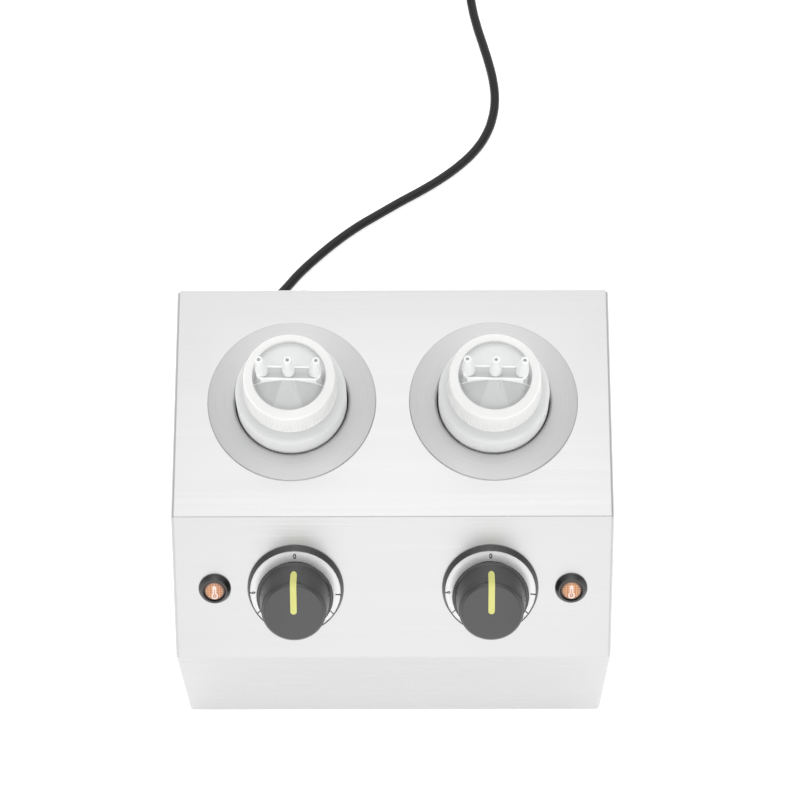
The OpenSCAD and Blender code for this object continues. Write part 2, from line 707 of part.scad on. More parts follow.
// Lamps
module lamp(s) {
    color([0.08, 0.08, 0.08]) on_slope(s * lamp_x) {
        rotate_extrude() polygon([[0, 0], [lamp_d / 2, 0], [lamp_d / 2, 0.8],
                                  [lamp_top_r, lamp_h - 0.3], [lamp_top_r - 0.4, lamp_h],
                                  [lens_d / 2 + 0.4, lamp_h], [lens_d / 2, lamp_h - 0.8],
                                  [lens_d / 2, 0.8], [0, 0.8]]);
        rod(lamp_neck_r, -lamp_drop, 0);
        for (t = [-1, 1]) translate([t * blade_x - blade[0] / 2, -blade[1] / 2, -lamp_drop - 7])
            cube(blade);
    }
}
module lens(s) {
    color([0.85, 0.42, 0.16]) on_slope(s * lamp_x)
        rotate_extrude() polygon([[0, 0.8], [lens_d / 2 - 0.05, 0.8],
                                  [lens_d / 2 - 0.05, lens_h], [lens_d / 2 - 1.2, lens_h + 0.5],
                                  [lens_d / 4, lens_h + 0.9], [0, lens_h + 1]]);
}
module lamp_nuts() {
    color([0.1, 0.1, 0.1]) for (s = [-1, 1]) on_slope(s * lamp_x) difference() {
        hexagon(17, -sheet - 3, -sheet);
        rod(lamp_neck_r + thread, -10, past);
    }
}

// Bottles
module bottle(s) {
    path = [[0, well_floor_z], [bottle_r, well_floor_z], [bottle_r, shoulder_z],
            [neck_r, neck_foot_z], [neck_r, neck_top_z]];
    color([0.93, 0.94, 0.94, 0.6]) at_well(s) rotate_extrude()
        polygon(wall_outline(path, [3, 2, 1.5], -bottle_wall));
}
module nozzle(s) {
    low = nozzle_z + flange_t;
    hub_r = cap_opening_d / 2 - 0.5;
    reach = nozzle_spacing + 3.3 - bar_end_r;
    color([0.9, 0.92, 0.92, 0.6]) at_well(s) difference() {
        union() {
            rod(neck_r - 0.2, nozzle_z, low);
            hull() {
                translate([0, 0, low - 0.5]) cylinder(r = hub_r, h = 1.5, $fn = 40);
                for (t = [-1, 1]) translate([t * reach, 0, low])
                    cylinder(r = bar_end_r, h = bar_z - low, $fn = 24);
            }
            for (t = [-1:1]) translate([t * nozzle_spacing, 0, bar_z - 0.5])
                cylinder(r1 = nozzle_base_r, r2 = nozzle_tip_r, h = tip_z - bar_z + 0.5);
        }
        hull() {
            translate([0, 0, nozzle_z - past])
                cylinder(r = hub_r - nozzle_wall, h = flange_t + past, $fn = 40);
            for (t = [-1, 1]) translate([t * reach, 0, nozzle_z])
                cylinder(r = bar_end_r - nozzle_wall, h = bar_z - nozzle_wall - nozzle_z, $fn = 24);
        }
        for (t = [-1:1]) translate([t * nozzle_spacing, 0, bar_z - nozzle_wall - 0.5])
            cylinder(r1 = nozzle_base_r - nozzle_wall, r2 = nozzle_bore_r,
                     h = tip_z - bar_z + nozzle_wall - 1);
        for (t = [-1:1]) translate([t * nozzle_spacing, 0, 0])
            rod(nozzle_bore_r, tip_z - 2, tip_z + past);
    }
}
module cap(s) {
    bore = neck_r + thread_gap;
    r = cap_d / 2;
    color([0.97, 0.97, 0.97]) at_well(s) {
        rotate_extrude() polygon([[bore, cap_z], [r - 0.2, cap_z], [r, cap_z + 0.3],
                                  [r, cap_z + 0.9], [r - 0.7, cap_z + 1.2],
                                  [r - 0.8, cap_z + 15.2], [r - 1.1, cap_top_z - 3.4],
                                  [r - 1.7, cap_top_z - 1.6], [r - 2.9, cap_top_z - 0.4],
                                  [r - 4.2, cap_top_z], [cap_opening_d / 2 + 0.3, cap_top_z],
                                  [cap_opening_d / 2, cap_top_z - 0.3],
                                  [cap_opening_d / 2, cap_top_z - cap_lid],
                                  [bore, cap_top_z - cap_lid]]);
        translate([0, 0, cap_z + 1]) linear_extrude(knurl_h) difference() {
            polygon([for (k = [0:2 * knurls - 1]) let (a = 180 * k / knurls)
                (r - 0.1 - (k % 2) * knurl_deep) * [cos(a), sin(a)]]);
            circle(r - 1.5);
        }
    }
}

// Inside, on the base plate
module terminal_block() {
    color([0.9, 0.88, 0.82]) translate(block_at) difference() {
        translate([-block_size[0] / 2, -block_size[1] / 2, 0]) cube(block_size);
        for (k = [-1:1]) translate([k * pole_pitch, 0, 0]) {
            for (t = [-1, 1]) translate([0, t * pole_screw_y, 0])
                rod(pole_screw_r, pole_h + past, block_size[2] + past);
            translate([0, 0, pole_h]) rotate([90, 0, 0]) rod(pole_r, -block_size[1], block_size[1]);
        }
    }
}
module earth_stud() {
    color([0.8, 0.66, 0.3]) translate(stud_at) {
        rod(m5_r, -sheet, stud_h);
        hexagon(nut5_af, 0, nut5_h);
        rod(nut5_af / 2 + 1, lug_ring_z, lug_ring_z + 1);
        hexagon(nut5_af, lug_ring_z + 3.4, lug_ring_z + 3.4 + nut5_h);
    }
}
// Wires, with routes chosen by hand in the free space under and before the wells
module wire(p, s = 1) { tube(mirrored(p, s), wire_d, 6); }
module live_wires() {
    color([0.42, 0.24, 0.12]) {
        wire([[-101.6, 95.8, 31], [-101.6, 93.8, 31], [-104, 91, 27], [-108, 86, 17],
              [-108, 82, 16], [-108, 76, 16]]);
        wire([[-109.2, 50, 16], [-109.2, 42, 16], [-109, 28, 16], [-109, -20, 14], [-98, -60, 16],
              [-82, -86, 24], [-73, -96, 52], [-72, -97, 108], [-72, -88, 142.5]]);
        wire([[-106.8, 50, 16], [-106.8, 42, 16], [-104, 30, 14], [-92, 10, 12], [-50, -40, 12],
              [20, -72, 14], [62, -88, 26], [72, -96, 52], [72, -97, 108], [72, -88, 142.5]]);
        for (s = [-1, 1]) {
            wire([[50.6, -88, 142.5], [51, -96, 112], [54, -74, 88], [55, -36, 92],
                  [53, -18, 102], [52.5, -4.6, 104]], s);
            wire([[53.6, -88, 142.5], [58, -95, 132], [84, -84, 122], [102, -58, 128],
                  [110.5, -50, 140], [110.5, -55, 148]], s);
        }
    }
}
module neutral_wires() {
    color([0.2, 0.35, 0.7]) {
        wire([[-99.2, 95.8, 31.4], [-99.2, 93.5, 31.4], [-98, 90.5, 28], [-98, 86, 17],
              [-98, 82, 16], [-98, 76, 16]]);
        wire([[-99.2, 50, 16], [-99.2, 42, 16], [-98, 28, 21], [-92, 0, 26], [-80, -26, 34],
              [-77, -28, 60], [-76.5, -18, 84], [-76.5, -4.4, 90]]);
        wire([[-96.8, 50, 16], [-96.8, 42, 16], [-90, 30, 22], [-70, 10, 24], [0, -24, 24],
              [60, -34, 30], [76, -28, 56], [76.5, -18, 84], [76.5, -4.4, 90]]);
        for (s = [-1, 1])
            wire([[116.5, -55, 148], [118, -46, 132], [116, -42, 108], [96, -34, 98],
                  [82, -24, 96], [79, -14, 96], [79, -4, 96]], s);
    }
}
module earth_wires() {
    color([0.45, 0.7, 0.2]) {
        wire([[-99.8, 95.8, 28.8], [-99.8, 93.8, 28.8], [-95.5, 91, 23.5], [-88, 87, 17],
              [-88, 82, 16], [-88, 76, 16]]);
        wire([[-88, 50, 16], [-88, 42, 16], [-84, 33, 17], [-76, 34, 18], [-70, 48, 18],
              [-69, 74, 16], [-70, 92.6, 14.2]]);
    }
}

// Cord
module cable_gland() {
    color([0.07, 0.07, 0.07]) on_rear(gland_x, gland_z) {
        out = gland_end_y - rear_y;
        rotate_extrude() polygon([[0, -gland_in], [gland_neck_r, -gland_in], [gland_neck_r, 0],
                                  [gland_flange_r, 0], [gland_flange_r, 2.2],
                                  [gland_flange_r - 0.8, 3], [6.8, 3], [6.4, 4.5],
                                  [cord_r + 1, out - 0.4], [cord_r + 0.6, out], [0, out]]);
        rod(cord_r, -core_in, past - gland_in);
    }
}
module gland_nut() {
    color([0.07, 0.07, 0.07]) on_rear(gland_x, gland_z) difference() {
        hexagon(21, -sheet - 5, -sheet);
        rod(gland_neck_r + thread, -core_in, past);
    }
}
module power_cord() { color([0.05, 0.05, 0.05]) tube(cord_route, cord_d, 10); }
module cord_coil() { color([0.05, 0.05, 0.05]) tube(coil_path, cord_d, 6); }
module plug_lead() { color([0.05, 0.05, 0.05]) tube(lead_path, cord_d, 10); }
module coil_tie() {
    function frame_line(d, r) = rounded([[tie_reach[0] - d, tie_t - d],
        [tie_reach[0] - d, tie_t + tie_inside_h + d], [tie_reach[1] + d, tie_t + tie_inside_h + d],
        [tie_reach[1] + d, tie_t - d]], r);
    color([0.12, 0.12, 0.12]) translate([coil_at[0], coil_at[1] - tie_w / 2, 0])
        mirror([1, 0, 0]) rotate([90, 0, 0]) translate([0, 0, -tie_w]) linear_extrude(tie_w)
            difference() {
                polygon(frame_line(tie_t, tie_r));
                polygon(frame_line(0, tie_r - tie_t));
            }
}
module plug_body() {
    color([0.07, 0.07, 0.07]) at_plug() difference() {
        rotate_extrude() polygon([[0, 0], [cord_r + 0.7, 0], [cord_r + 1, 0.5],
                                  [6.4, plug_relief - 1], [8.4, plug_relief],
                                  [11.5, plug_relief + 4], [13.2, plug_relief + 12],
                                  [14.5, plug_relief + 19], [plug_r - 0.6, plug_face - contact_h],
                                  [plug_r, plug_face - contact_h + 1], [plug_r, plug_face - 0.8],
                                  [plug_r - 0.8, plug_face], [0, plug_face]]);
        for (t = [-1, 1]) translate([t > 0 ? plug_r - groove_deep : -plug_r - past, -groove_w / 2,
                                     plug_face - contact_h])
            cube([groove_deep + past, groove_w, contact_h + past]);
        for (t = [-1, 1]) translate([0, t * pin_x, 0])
            rod(pin_r, plug_face - pin_in, plug_face + past);
    }
}
module plug_contacts() {
    color([0.85, 0.8, 0.6]) at_plug() {
        for (t = [-1, 1]) translate([0, t * pin_x, 0]) {
            rod(pin_r, plug_face - pin_in, plug_face + pin_out - 1);
            translate([0, 0, plug_face + pin_out - 1])
                cylinder(r1 = pin_r, r2 = pin_r - pin_nose, h = 1);
        }
        for (t = [-1, 1])
            translate([t > 0 ? plug_r - groove_deep : -plug_r + groove_deep - contact_t,
                       -groove_w / 2 + 0.6, plug_face - contact_h])
                cube([contact_t, groove_w - 1.2, contact_h]);
    }
}

casing_wrap();
side_panel(-1);  // side_panel_left
side_panel(1);  // side_panel_right
rear_panel();
rear_screws();
base_plate();
base_screws();
foot(0);  // foot_front_left
foot(1);  // foot_rear_left
foot(2);  // foot_front_right
foot(3);  // foot_rear_right
foot_bolts();
well(-1);  // well_left
well(1);  // well_right
well_nuts();
heater(-1);  // heater_left
heater(1);  // heater_right
heater_bolts();
wool(-1);  // wool_left
wool(1);  // wool_right
thermostat(-1);  // thermostat_left
thermostat(1);  // thermostat_right
thermostat_screws();
sensor(-1);  // sensor_left
sensor(1);  // sensor_right
sensor_clips();
shaft(-1);  // shaft_left
shaft(1);  // shaft_right
bezel(-1);  // bezel_left
bezel(1);  // bezel_right
dial_ring(-1);  // dial_ring_left
dial_ring(1);  // dial_ring_right
knob(-1);  // knob_left
knob(1);  // knob_right
pointer(-1);  // pointer_left
pointer(1);  // pointer_right
lamp(-1);  // lamp_left
lamp(1);  // lamp_right
lens(-1);  // lens_left
lens(1);  // lens_right
lamp_nuts();
bottle(-1);  // bottle_left
bottle(1);  // bottle_right
nozzle(-1);  // nozzle_left
nozzle(1);  // nozzle_right
cap(-1);  // cap_left
cap(1);  // cap_right
terminal_block();
earth_stud();
live_wires();
neutral_wires();
earth_wires();
cable_gland();
gland_nut();
power_cord();
cord_coil();
coil_tie();
plug_lead();
plug_body();
plug_contacts();
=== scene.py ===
# A hot fudge topping warmer: folded stainless casing, two wells with squeeze bottles,
# dials, pilot lamps and a loose mains cord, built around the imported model.
# The dictionaries give sizes in millimetres; all that is built is in metres.
import json
import math

import bmesh
import bpy
from mathutils import Matrix, Vector


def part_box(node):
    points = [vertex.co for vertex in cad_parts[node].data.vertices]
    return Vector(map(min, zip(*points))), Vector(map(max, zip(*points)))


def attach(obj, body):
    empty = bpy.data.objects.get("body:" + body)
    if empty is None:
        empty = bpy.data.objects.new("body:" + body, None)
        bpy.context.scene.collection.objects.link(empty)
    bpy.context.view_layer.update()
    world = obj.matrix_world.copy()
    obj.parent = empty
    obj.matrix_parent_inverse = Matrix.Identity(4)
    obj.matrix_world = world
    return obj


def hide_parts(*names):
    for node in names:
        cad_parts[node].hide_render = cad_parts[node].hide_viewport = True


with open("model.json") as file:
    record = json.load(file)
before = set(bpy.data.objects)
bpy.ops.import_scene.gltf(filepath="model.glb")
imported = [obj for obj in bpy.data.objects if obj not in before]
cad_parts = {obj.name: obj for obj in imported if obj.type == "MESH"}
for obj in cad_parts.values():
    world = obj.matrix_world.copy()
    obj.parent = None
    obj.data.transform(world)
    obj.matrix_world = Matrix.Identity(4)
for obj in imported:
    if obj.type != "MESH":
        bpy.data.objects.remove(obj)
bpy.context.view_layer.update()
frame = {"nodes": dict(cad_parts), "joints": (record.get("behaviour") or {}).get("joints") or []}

mm = 0.001
near = 1e-6  # metres; points closer than this are one
past = 1  # mm that a cutting tool reaches past a surface
joints = {joint["name"]: joint for joint in frame["joints"]}
sides = {"left": -1, "right": 1}


# Selecting, drawing and placing
def stopEditing():
    bpy.ops.object.mode_set(mode="OBJECT")


def freeSelection():
    if bpy.context.mode != "OBJECT":
        stopEditing()
    bpy.ops.object.select_all(action="DESELECT")


def take(piece):
    freeSelection()
    piece.select_set(True)
    bpy.context.view_layer.objects.active = piece


def edit(piece):
    take(piece)
    bpy.ops.object.mode_set(mode="EDIT")
    bpy.ops.mesh.select_mode(type="VERT")
    bpy.ops.mesh.select_all(action="SELECT")


def pick(piece, kind, wanted):  # wanted is a test on a part's middle and its normal
    bpy.ops.mesh.select_mode(type=kind)
    bpy.ops.mesh.select_all(action="DESELECT")
    shape = bmesh.from_edit_mesh(piece.data)
    for part in {"VERT": shape.verts, "EDGE": shape.edges, "FACE": shape.faces}[kind]:
        if kind == "VERT":
            chosen = wanted(part.co, part.normal)
        elif kind == "EDGE":
            chosen = wanted((part.verts[0].co + part.verts[1].co) / 2, None)
        else:
            chosen = wanted(part.calc_center_median(), part.normal)
        part.select_set(chosen)
    shape.select_flush_mode()
    bmesh.update_edit_mesh(piece.data)


def softened(corners, steps=5):  # a corner's third number is its rounding
    points = []
    for i, corner in enumerate(corners):
        here = Vector(corner[:2])
        if len(corner) < 3:
            points.append(here)
            continue
        before = (Vector(corners[i - 1][:2]) - here).normalized()
        after = (Vector(corners[(i + 1) % len(corners)][:2]) - here).normalized()
        half = before.angle(after) / 2
        middle = here + (before + after).normalized() * corner[2] / math.sin(half)
        first = here + before * corner[2] / math.tan(half) - middle
        sweep = (2 * half - math.pi) * math.copysign(1, before.x * after.y - before.y * after.x)
        points += [middle + Matrix.Rotation(sweep * k / steps, 2) @ first
                   for k in range(steps + 1)]
    return points


def drawLine(name, points, closed=False):  # edges through the points, left selected in edit mode
    freeSelection()
    bpy.ops.mesh.primitive_plane_add(size=mm, location=(0, 0, 0))
    piece = bpy.context.object
    piece.name = piece.data.name = name
    bpy.ops.object.mode_set(mode="EDIT")
    bpy.ops.mesh.select_mode(type="VERT")
    bpy.ops.mesh.select_all(action="SELECT")
    bpy.ops.mesh.merge(type="CENTER")
    bpy.ops.transform.translate(value=points[0])
    for last, point in zip(points, points[1:]):
        bpy.ops.mesh.extrude_vertices_move(
            TRANSFORM_OT_translate={"value": Vector(point) - Vector(last)})
    if closed:
        ends = [Vector(points[0]), Vector(points[-1])]
        pick(piece, "VERT", lambda at, normal: min((at - end).length for end in ends) < near)
        bpy.ops.mesh.edge_face_add()
    bpy.ops.mesh.select_all(action="SELECT")
    return piece


def pull(*way):  # what is selected is extruded this far, in mm
    bpy.ops.mesh.extrude_region_move(
        TRANSFORM_OT_translate={"value": [step * mm for step in way]})


def mend():  # doubles merged, then all faces outwards
    bpy.ops.mesh.select_all(action="SELECT")
    bpy.ops.mesh.remove_doubles(threshold=near)
    bpy.ops.mesh.normals_make_consistent(inside=False)


def flipIf(piece, wrong):  # all faces turn over where one of them is wrong
    pick(piece, "FACE", wrong)
    if piece.data.total_face_sel:
        bpy.ops.mesh.select_all(action="SELECT")
        bpy.ops.mesh.flip_normals()


def turned(name, corners, steps=96):  # an outline of radius and height, spun round Z
    closed = corners[0][0] > 0 or corners[-1][0] > 0
    points = [(x * mm, 0, z * mm) for x, z in softened(corners)]
    piece = drawLine(name, points, closed)
    bpy.ops.mesh.spin(steps=steps, angle=2 * math.pi, center=(0, 0, 0), axis=(0, 0, 1))
    mend()
    stopEditing()
    return piece


def slab(name, corners, low, high, steps=5):  # a flat closed outline, raised from low to high
    points = [(x * mm, y * mm, low * mm) for x, y in softened(corners, steps=steps)]
    piece = drawLine(name, points, closed=True)
    bpy.ops.mesh.edge_face_add()
    pull(0, 0, high - low)
    mend()
    stopEditing()
    return piece


def bridged(name, *rings):  # two closed lines of equally many points, joined by a wall
    piece = join(*[drawLine(name, ring, closed=True) for ring in rings])
    edit(piece)
    bpy.ops.mesh.select_mode(type="EDGE")
    bpy.ops.mesh.bridge_edge_loops()
    stopEditing()
    return piece


def place(piece, at=(0, 0, 0), turn=(0, 0, 0), size=(1, 1, 1)):
    take(piece)
    piece.location = at
    piece.rotation_euler = turn
    piece.scale = size
    bpy.ops.object.transform_apply(location=True, rotation=True, scale=True)
    return piece


def copyOf(piece, name):
    take(piece)
    bpy.ops.object.duplicate()
    twin = bpy.context.object
    twin.name = twin.data.name = name
    return twin


def join(piece, *others):
    take(piece)
    for other in others:
        other.select_set(True)
    bpy.ops.object.join()
    return piece


def modify(piece, kind, **settings):
    take(piece)
    modifier = piece.modifiers.new(kind.lower(), kind)
    for key, value in settings.items():
        setattr(modifier, key, value)
    bpy.ops.object.modifier_apply(modifier=modifier.name)
    return piece


def combine(piece, operation, *tools):
    for tool in tools:
        modify(piece, "BOOLEAN", operation=operation, object=tool, solver="EXACT")
        bpy.data.objects.remove(tool)
    return piece


def softEdges(piece, width, segments=2, angle=40):
    return modify(piece, "BEVEL", width=width * mm, segments=segments, limit_method="ANGLE",
                  angle_limit=math.radians(angle), harden_normals=False)


def finishPiece(piece, material, slot, body, *nodes, angle=35):
    take(piece)
    bpy.ops.object.shade_smooth_by_angle(angle=math.radians(angle))
    piece.data.materials.clear()
    piece.data.materials.append(material)
    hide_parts(*nodes)
    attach(piece, body)
    return piece


# One on each side from a model, which goes; {} in a name stands for the side
def makePair(model, name, places, material, slot, body, node="", tilt=0, angle=35):
    for side, at in places.items():
        piece = place(copyOf(model, name + side.capitalize()), at, (tilt, 0, 0))
        own = material[side] if isinstance(material, dict) else material
        finishPiece(piece, own, slot, body.format(side), *node.format(side).split(), angle=angle)
    bpy.data.objects.remove(model)


# Materials
def hexColour(text):  # an sRGB colour, turned to linear
    parts = [int(text[i:i + 2], 16) / 255 for i in (1, 3, 5)]
    return [c / 12.92 if c <= 0.04045 else ((c + 0.055) / 1.055) ** 2.4 for c in parts] + [1]


def addNode(tree, kind, *inputs, **settings):  # with its inputs in order, or by their names
    node = tree.nodes.new("ShaderNode" + kind)
    for key, value in settings.items():
        setattr(node, key, value)
    named = inputs[0] if inputs and isinstance(inputs[0], dict) else dict(enumerate(inputs))
    for key, value in named.items():
        if isinstance(value, bpy.types.Node):
            value = next(output for output in value.outputs if output.enabled)
        if isinstance(value, bpy.types.NodeSocket):
            tree.links.new(value, node.inputs[key])
        else:
            node.inputs[key].default_value = hexColour(value) if isinstance(value, str) else value
    return node


def startMaterial(name):
    material = bpy.data.materials.new(name)
    material.use_nodes = True
    material.node_tree.nodes.clear()
    return material, material.node_tree


def coat(material, sockets, height=None, depth=0, strength=1):  # relief comes from a height
    tree = material.node_tree
    if height:
        sockets["Normal"] = addNode(tree, "Bump", {"Height": height, "Distance": depth * mm,
                                                   "Strength": strength})
    shader = addNode(tree, "BsdfPrincipled", sockets)
    addNode(tree, "OutputMaterial", shader)
    return material


def inSteps(tree, *size):  # the piece's own coordinates, counted in steps of this many mm
    start = addNode(tree, "TexCoord").outputs["Object"]
    scale = [1 / (step * mm) for step in (size * 3)[:3]]
    return addNode(tree, "Mapping", {"Vector": start, "Scale": scale})


def mottling(tree, *size, detail=2, rough=0.5):  # soft noise, its waves this many mm wide
    return addNode(tree, "TexNoise", {"Vector": inSteps(tree, *size), "Scale": 1.0,
                                      "Detail": detail, "Roughness": rough})


def facePlace(tree, at):  # measured from a point on the sloping panel, along the panel
    start = addNode(tree, "TexCoord").outputs["Object"]
    return addNode(tree, "Mapping", start, at, (slopeAngle, 0, 0), vector_type="TEXTURE")


def between(tree, share, first, second):  # a number or a colour between two, by a share
    low, high = 0.3, 0.7  # where most noise lies
    if isinstance(first, str):
        ramp = addNode(tree, "ValToRGB", share)
        for stop, start, colour in zip(ramp.color_ramp.elements, (low, high), (first, second)):
            stop.color = hexColour(colour)
            stop.position = start
        return ramp
    return addNode(tree, "MapRange", share, low, high, first, second)


def stepped(tree, value, *stops):  # a colour at each place in mm, blended in between
    low, high = stops[0][0], stops[-1][0]
    ramp = addNode(tree, "ValToRGB", addNode(tree, "MapRange", value, low * mm, high * mm))
    ramp.color_ramp.elements[0].color = hexColour(stops[0][1])
    ramp.color_ramp.elements[1].color = hexColour(stops[-1][1])
    for start, colour in stops[1:-1]:
        ramp.color_ramp.elements.new((start - low) / (high - low)).color = hexColour(colour)
    return ramp


def acrossGrain(tree, along):  # highlights spread square to the scratches
    normal = addNode(tree, "NewGeometry").outputs["Normal"]
    return addNode(tree, "VectorMath", normal, along, operation="CROSS_PRODUCT")


# Stainless sheet, AISI 304 with a No. 4 belt finish: fine straight scratches that blur
# reflections across the grain. Drawn coarser than the real 0.1 mm, so that they show.
scratch = {"long": 167, "wide": 1.11,  # mm
           "streak": 12, "round": 1.5}  # in widths: a streak, and the change on a way round


def brushedStainless(name, grain):
    material, tree = startMaterial(name)
    size = [scratch["long" if axis == grain else "wide"] for axis in "XYZ"]
    fine = mottling(tree, *size)
    broad = mottling(tree, *(step * scratch["streak"] for step in size))
    colour = addNode(tree, "Mix", {0: 0.5, 6: between(tree, fine, "#BDBDBD", "#C3C3C3"),
                                   7: between(tree, broad, "#BFBFBF", "#C2C2C2")},
                     data_type="RGBA")
    along = addNode(tree, "CombineXYZ", {grain: 1.0})
    return coat(material, {"Base Color": colour, "Metallic": 1.0, "Anisotropic": 0.55,
                           "Roughness": between(tree, fine, 0.27, 0.33),
                           "Tangent": acrossGrain(tree, along)}, fine, 0.002, 0.12)


# The same sheet, spun against a belt: the scratches run round the well's axis
def turnedStainless(name, x, y):
    material, tree = startMaterial(name)
    start = addNode(tree, "TexCoord").outputs["Object"]
    arm = addNode(tree, "VectorMath", start, (x, y, 0), operation="SUBTRACT")
    parts = addNode(tree, "SeparateXYZ", arm).outputs
    flat = addNode(tree, "CombineXYZ", parts[0], parts[1])
    reach = addNode(tree, "VectorMath", flat, operation="LENGTH")
    unit = addNode(tree, "VectorMath", flat, operation="NORMALIZE")
    around = addNode(tree, "VectorMath", (0, 0, 1), unit, operation="CROSS_PRODUCT")
    ringed = addNode(tree, "CombineXYZ", reach, parts[2])
    step, once = 1 / (scratch["wide"] * mm), scratch["round"]
    far = addNode(tree, "VectorMath", ringed, (step, step, 0), operation="MULTIPLY")
    circling = addNode(tree, "VectorMath", unit, (once, once, 0), operation="MULTIPLY")
    mixed = addNode(tree, "VectorMath", far, circling)
    fine = addNode(tree, "TexNoise", {"Vector": mixed, "Scale": 1.0, "Detail": 2})
    return coat(material, {"Base Color": between(tree, fine, "#BABABA", "#C1C1C1"),
                           "Metallic": 1.0, "Anisotropic": 0.9,
                           "Roughness": between(tree, fine, 0.33, 0.38),
                           "Tangent": acrossGrain(tree, around)}, fine, 0.002, 0.15)


# Moulded plastic: a fine spark-eroded grain, drawn at 0.5 mm, and a little unevenness
def mouldedPlastic(name, dark, light, roughness, grain=0.5, depth=0.015, specular=0.5):
    material, tree = startMaterial(name)
    fine, broad = mottling(tree, grain), mottling(tree, 25)
    return coat(material, {"Base Color": between(tree, broad, dark, light),
                           "Roughness": between(tree, fine, roughness - 0.05, roughness + 0.05),
                           "Specular IOR Level": specular}, fine, depth, 0.6)


# Metal fittings: a thin bright coat with faint mottling from plating or drawing
def platedMetal(name, dark, light, roughness):
    material, tree = startMaterial(name)
    mottle = mottling(tree, 2.86, detail=3)
    return coat(material, {"Base Color": between(tree, mottle, dark, light), "Metallic": 1.0,
                           "Roughness": between(tree, mottle, roughness - 0.06, roughness + 0.08)},
                mottle, 0.006, 0.3)


# Camera at the photograph's place
cameraFacts = {
    "place": (15.3, -636.1, 1960.4),
    "down": 68.994, "yaw": -0.901, "roll": -0.967,  # degrees
    "lens": 132.0, "sensor": 36.0,
}


def addCamera():
    freeSelection()
    bpy.ops.object.camera_add(location=[c * mm for c in cameraFacts["place"]])
    camera = bpy.context.object
    camera.name = "photographView"
    turn = (Matrix.Rotation(-math.radians(cameraFacts["yaw"]), 3, "Z")
            @ Matrix.Rotation(math.radians(90 - cameraFacts["down"]), 3, "X")
            @ Matrix.Rotation(math.radians(cameraFacts["roll"]), 3, "Z"))
    camera.rotation_euler = turn.to_euler()
    camera.data.lens = cameraFacts["lens"]
    camera.data.sensor_width = cameraFacts["sensor"]
    bpy.context.scene.camera = camera


addCamera()
print("camera placed")

# Mains cord: out of its sleeve, down to the table, round to the coil and on to the plug
cord = {
    "diameter": 6.8,
    "route": [(-100, 140, 30), (-100, 147, 30), (-99.5, 155, 28), (-98.5, 163, 23.5),
              (-96.5, 171, 17.5), (-93.5, 179, 11), (-90, 187, 6.5), (-85, 195, 4),
              (-79, 202.5, 3.4), (-69, 214.5, 3.4), (-56.5, 227, 3.4), (-42.5, 239.5, 3.4),
              (-27.5, 251, 3.4), (-12, 261, 3.4), (4, 271, 3.4), (20, 280.5, 3.4),
              (35, 290.5, 3.4), (48, 301, 3.4), (59, 312.5, 3.4), (67, 325, 3.4),
              (72, 339, 3.4), (74, 354, 3.4), (73, 369, 3.4), (70, 384, 3.4),
              (66, 399, 3.4), (61.5, 415, 3.5), (58, 431, 3.7), (56, 447, 4),
              (55, 463, 4.2), (55, 476, 4.2), (55, 482, 4.2)],
    "coilCentre": (9.9, 488.8), "coilRadius": 45.1, "pitch": 7.6, "ringsPerTurn": 24,
    "rings": 103, "coilHeight": 4.2, "coilRise": 7.4,
    "lead": [(7, 11.6), (14, 12.3), (21, 14.2), (28, 16.4), (36, 18.1), (43, 18.5),
             (50, 18.5)],  # along the lead, and its height
}


def coilRing(k):  # it spirals in on the table and out again on top
    turn = 2 * math.pi * k / cord["ringsPerTurn"]
    inwards = min(k, cord["rings"] - k) / cord["ringsPerTurn"]
    radius = cord["coilRadius"] - cord["pitch"] * inwards
    share = max(0, min(1, (k - cord["rings"] / 2) / (cord["ringsPerTurn"] / 2) + 0.5))
    height = cord["coilHeight"] + cord["coilRise"] * share * share * (3 - 2 * share)
    x, y = cord["coilCentre"]
    return Vector((x + radius * math.cos(turn), y + radius * math.sin(turn), height))


def cordPoints():
    coil = [coilRing(k) for k in range(cord["rings"] + 1)]
    heading = math.radians(90 + 360 * cord["rings"] / cord["ringsPerTurn"])
    onward = Vector((math.cos(heading), math.sin(heading), 0))
    first = coil[-1] + onward * cord["diameter"]
    lead = [Vector((first.x, first.y, 0)) + onward * along + Vector((0, 0, height))
            for along, height in cord["lead"]]
    points = [Vector(p) for p in cord["route"]] + coil + [first] + lead
    return [p * mm for p in points], onward


# Cord sheath, PVC, extruded: satin black, with a faint waviness that softens its shine
def cordSheath():
    material, tree = startMaterial("extrudedPvc")
    wave = mottling(tree, 6.25)
    return coat(material, {"Base Color": between(tree, wave, "#0F0F10", "#141415"),
                           "Roughness": between(tree, wave, 0.38, 0.5),
                           "Specular IOR Level": 0.4}, wave, 0.05, 0.35)


def makeCord():
    points = cordPoints()[0]
    freeSelection()
    bpy.ops.curve.primitive_bezier_curve_add()
    piece = bpy.context.object
    piece.name = piece.data.name = "mainsCord"
    line = piece.data.splines[0]
    line.bezier_points.add(len(points) - 2)
    for knot, point in zip(line.bezier_points, points):
        knot.co = point
        knot.handle_left_type = knot.handle_right_type = "AUTO"
    piece.data.dimensions = "3D"
    piece.data.resolution_u = 5
    piece.data.bevel_depth = (cord["diameter"] / 2 - 0.08) * mm
    piece.data.bevel_resolution = 5
    piece.data.use_fill_caps = True
    piece.data.materials.append(cordSheath())
    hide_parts("power_cord", "cord_coil", "plug_lead")
    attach(piece, "casing")
    return piece


mainsCord = makeCord()
print("cord laid")

# Shared materials
casingSteel = brushedStainless("brushedStainlessAlongX", "X")
sideSteel = brushedStainless("brushedStainlessAlongY", "Y")
zincSteel = platedMetal("zincPlatedSteel", "#B4B6B8", "#CDCFD0", 0.36)
blackNylon = mouldedPlastic("blackPolyamide", "#2C2C2D", "#323233", 0.3)

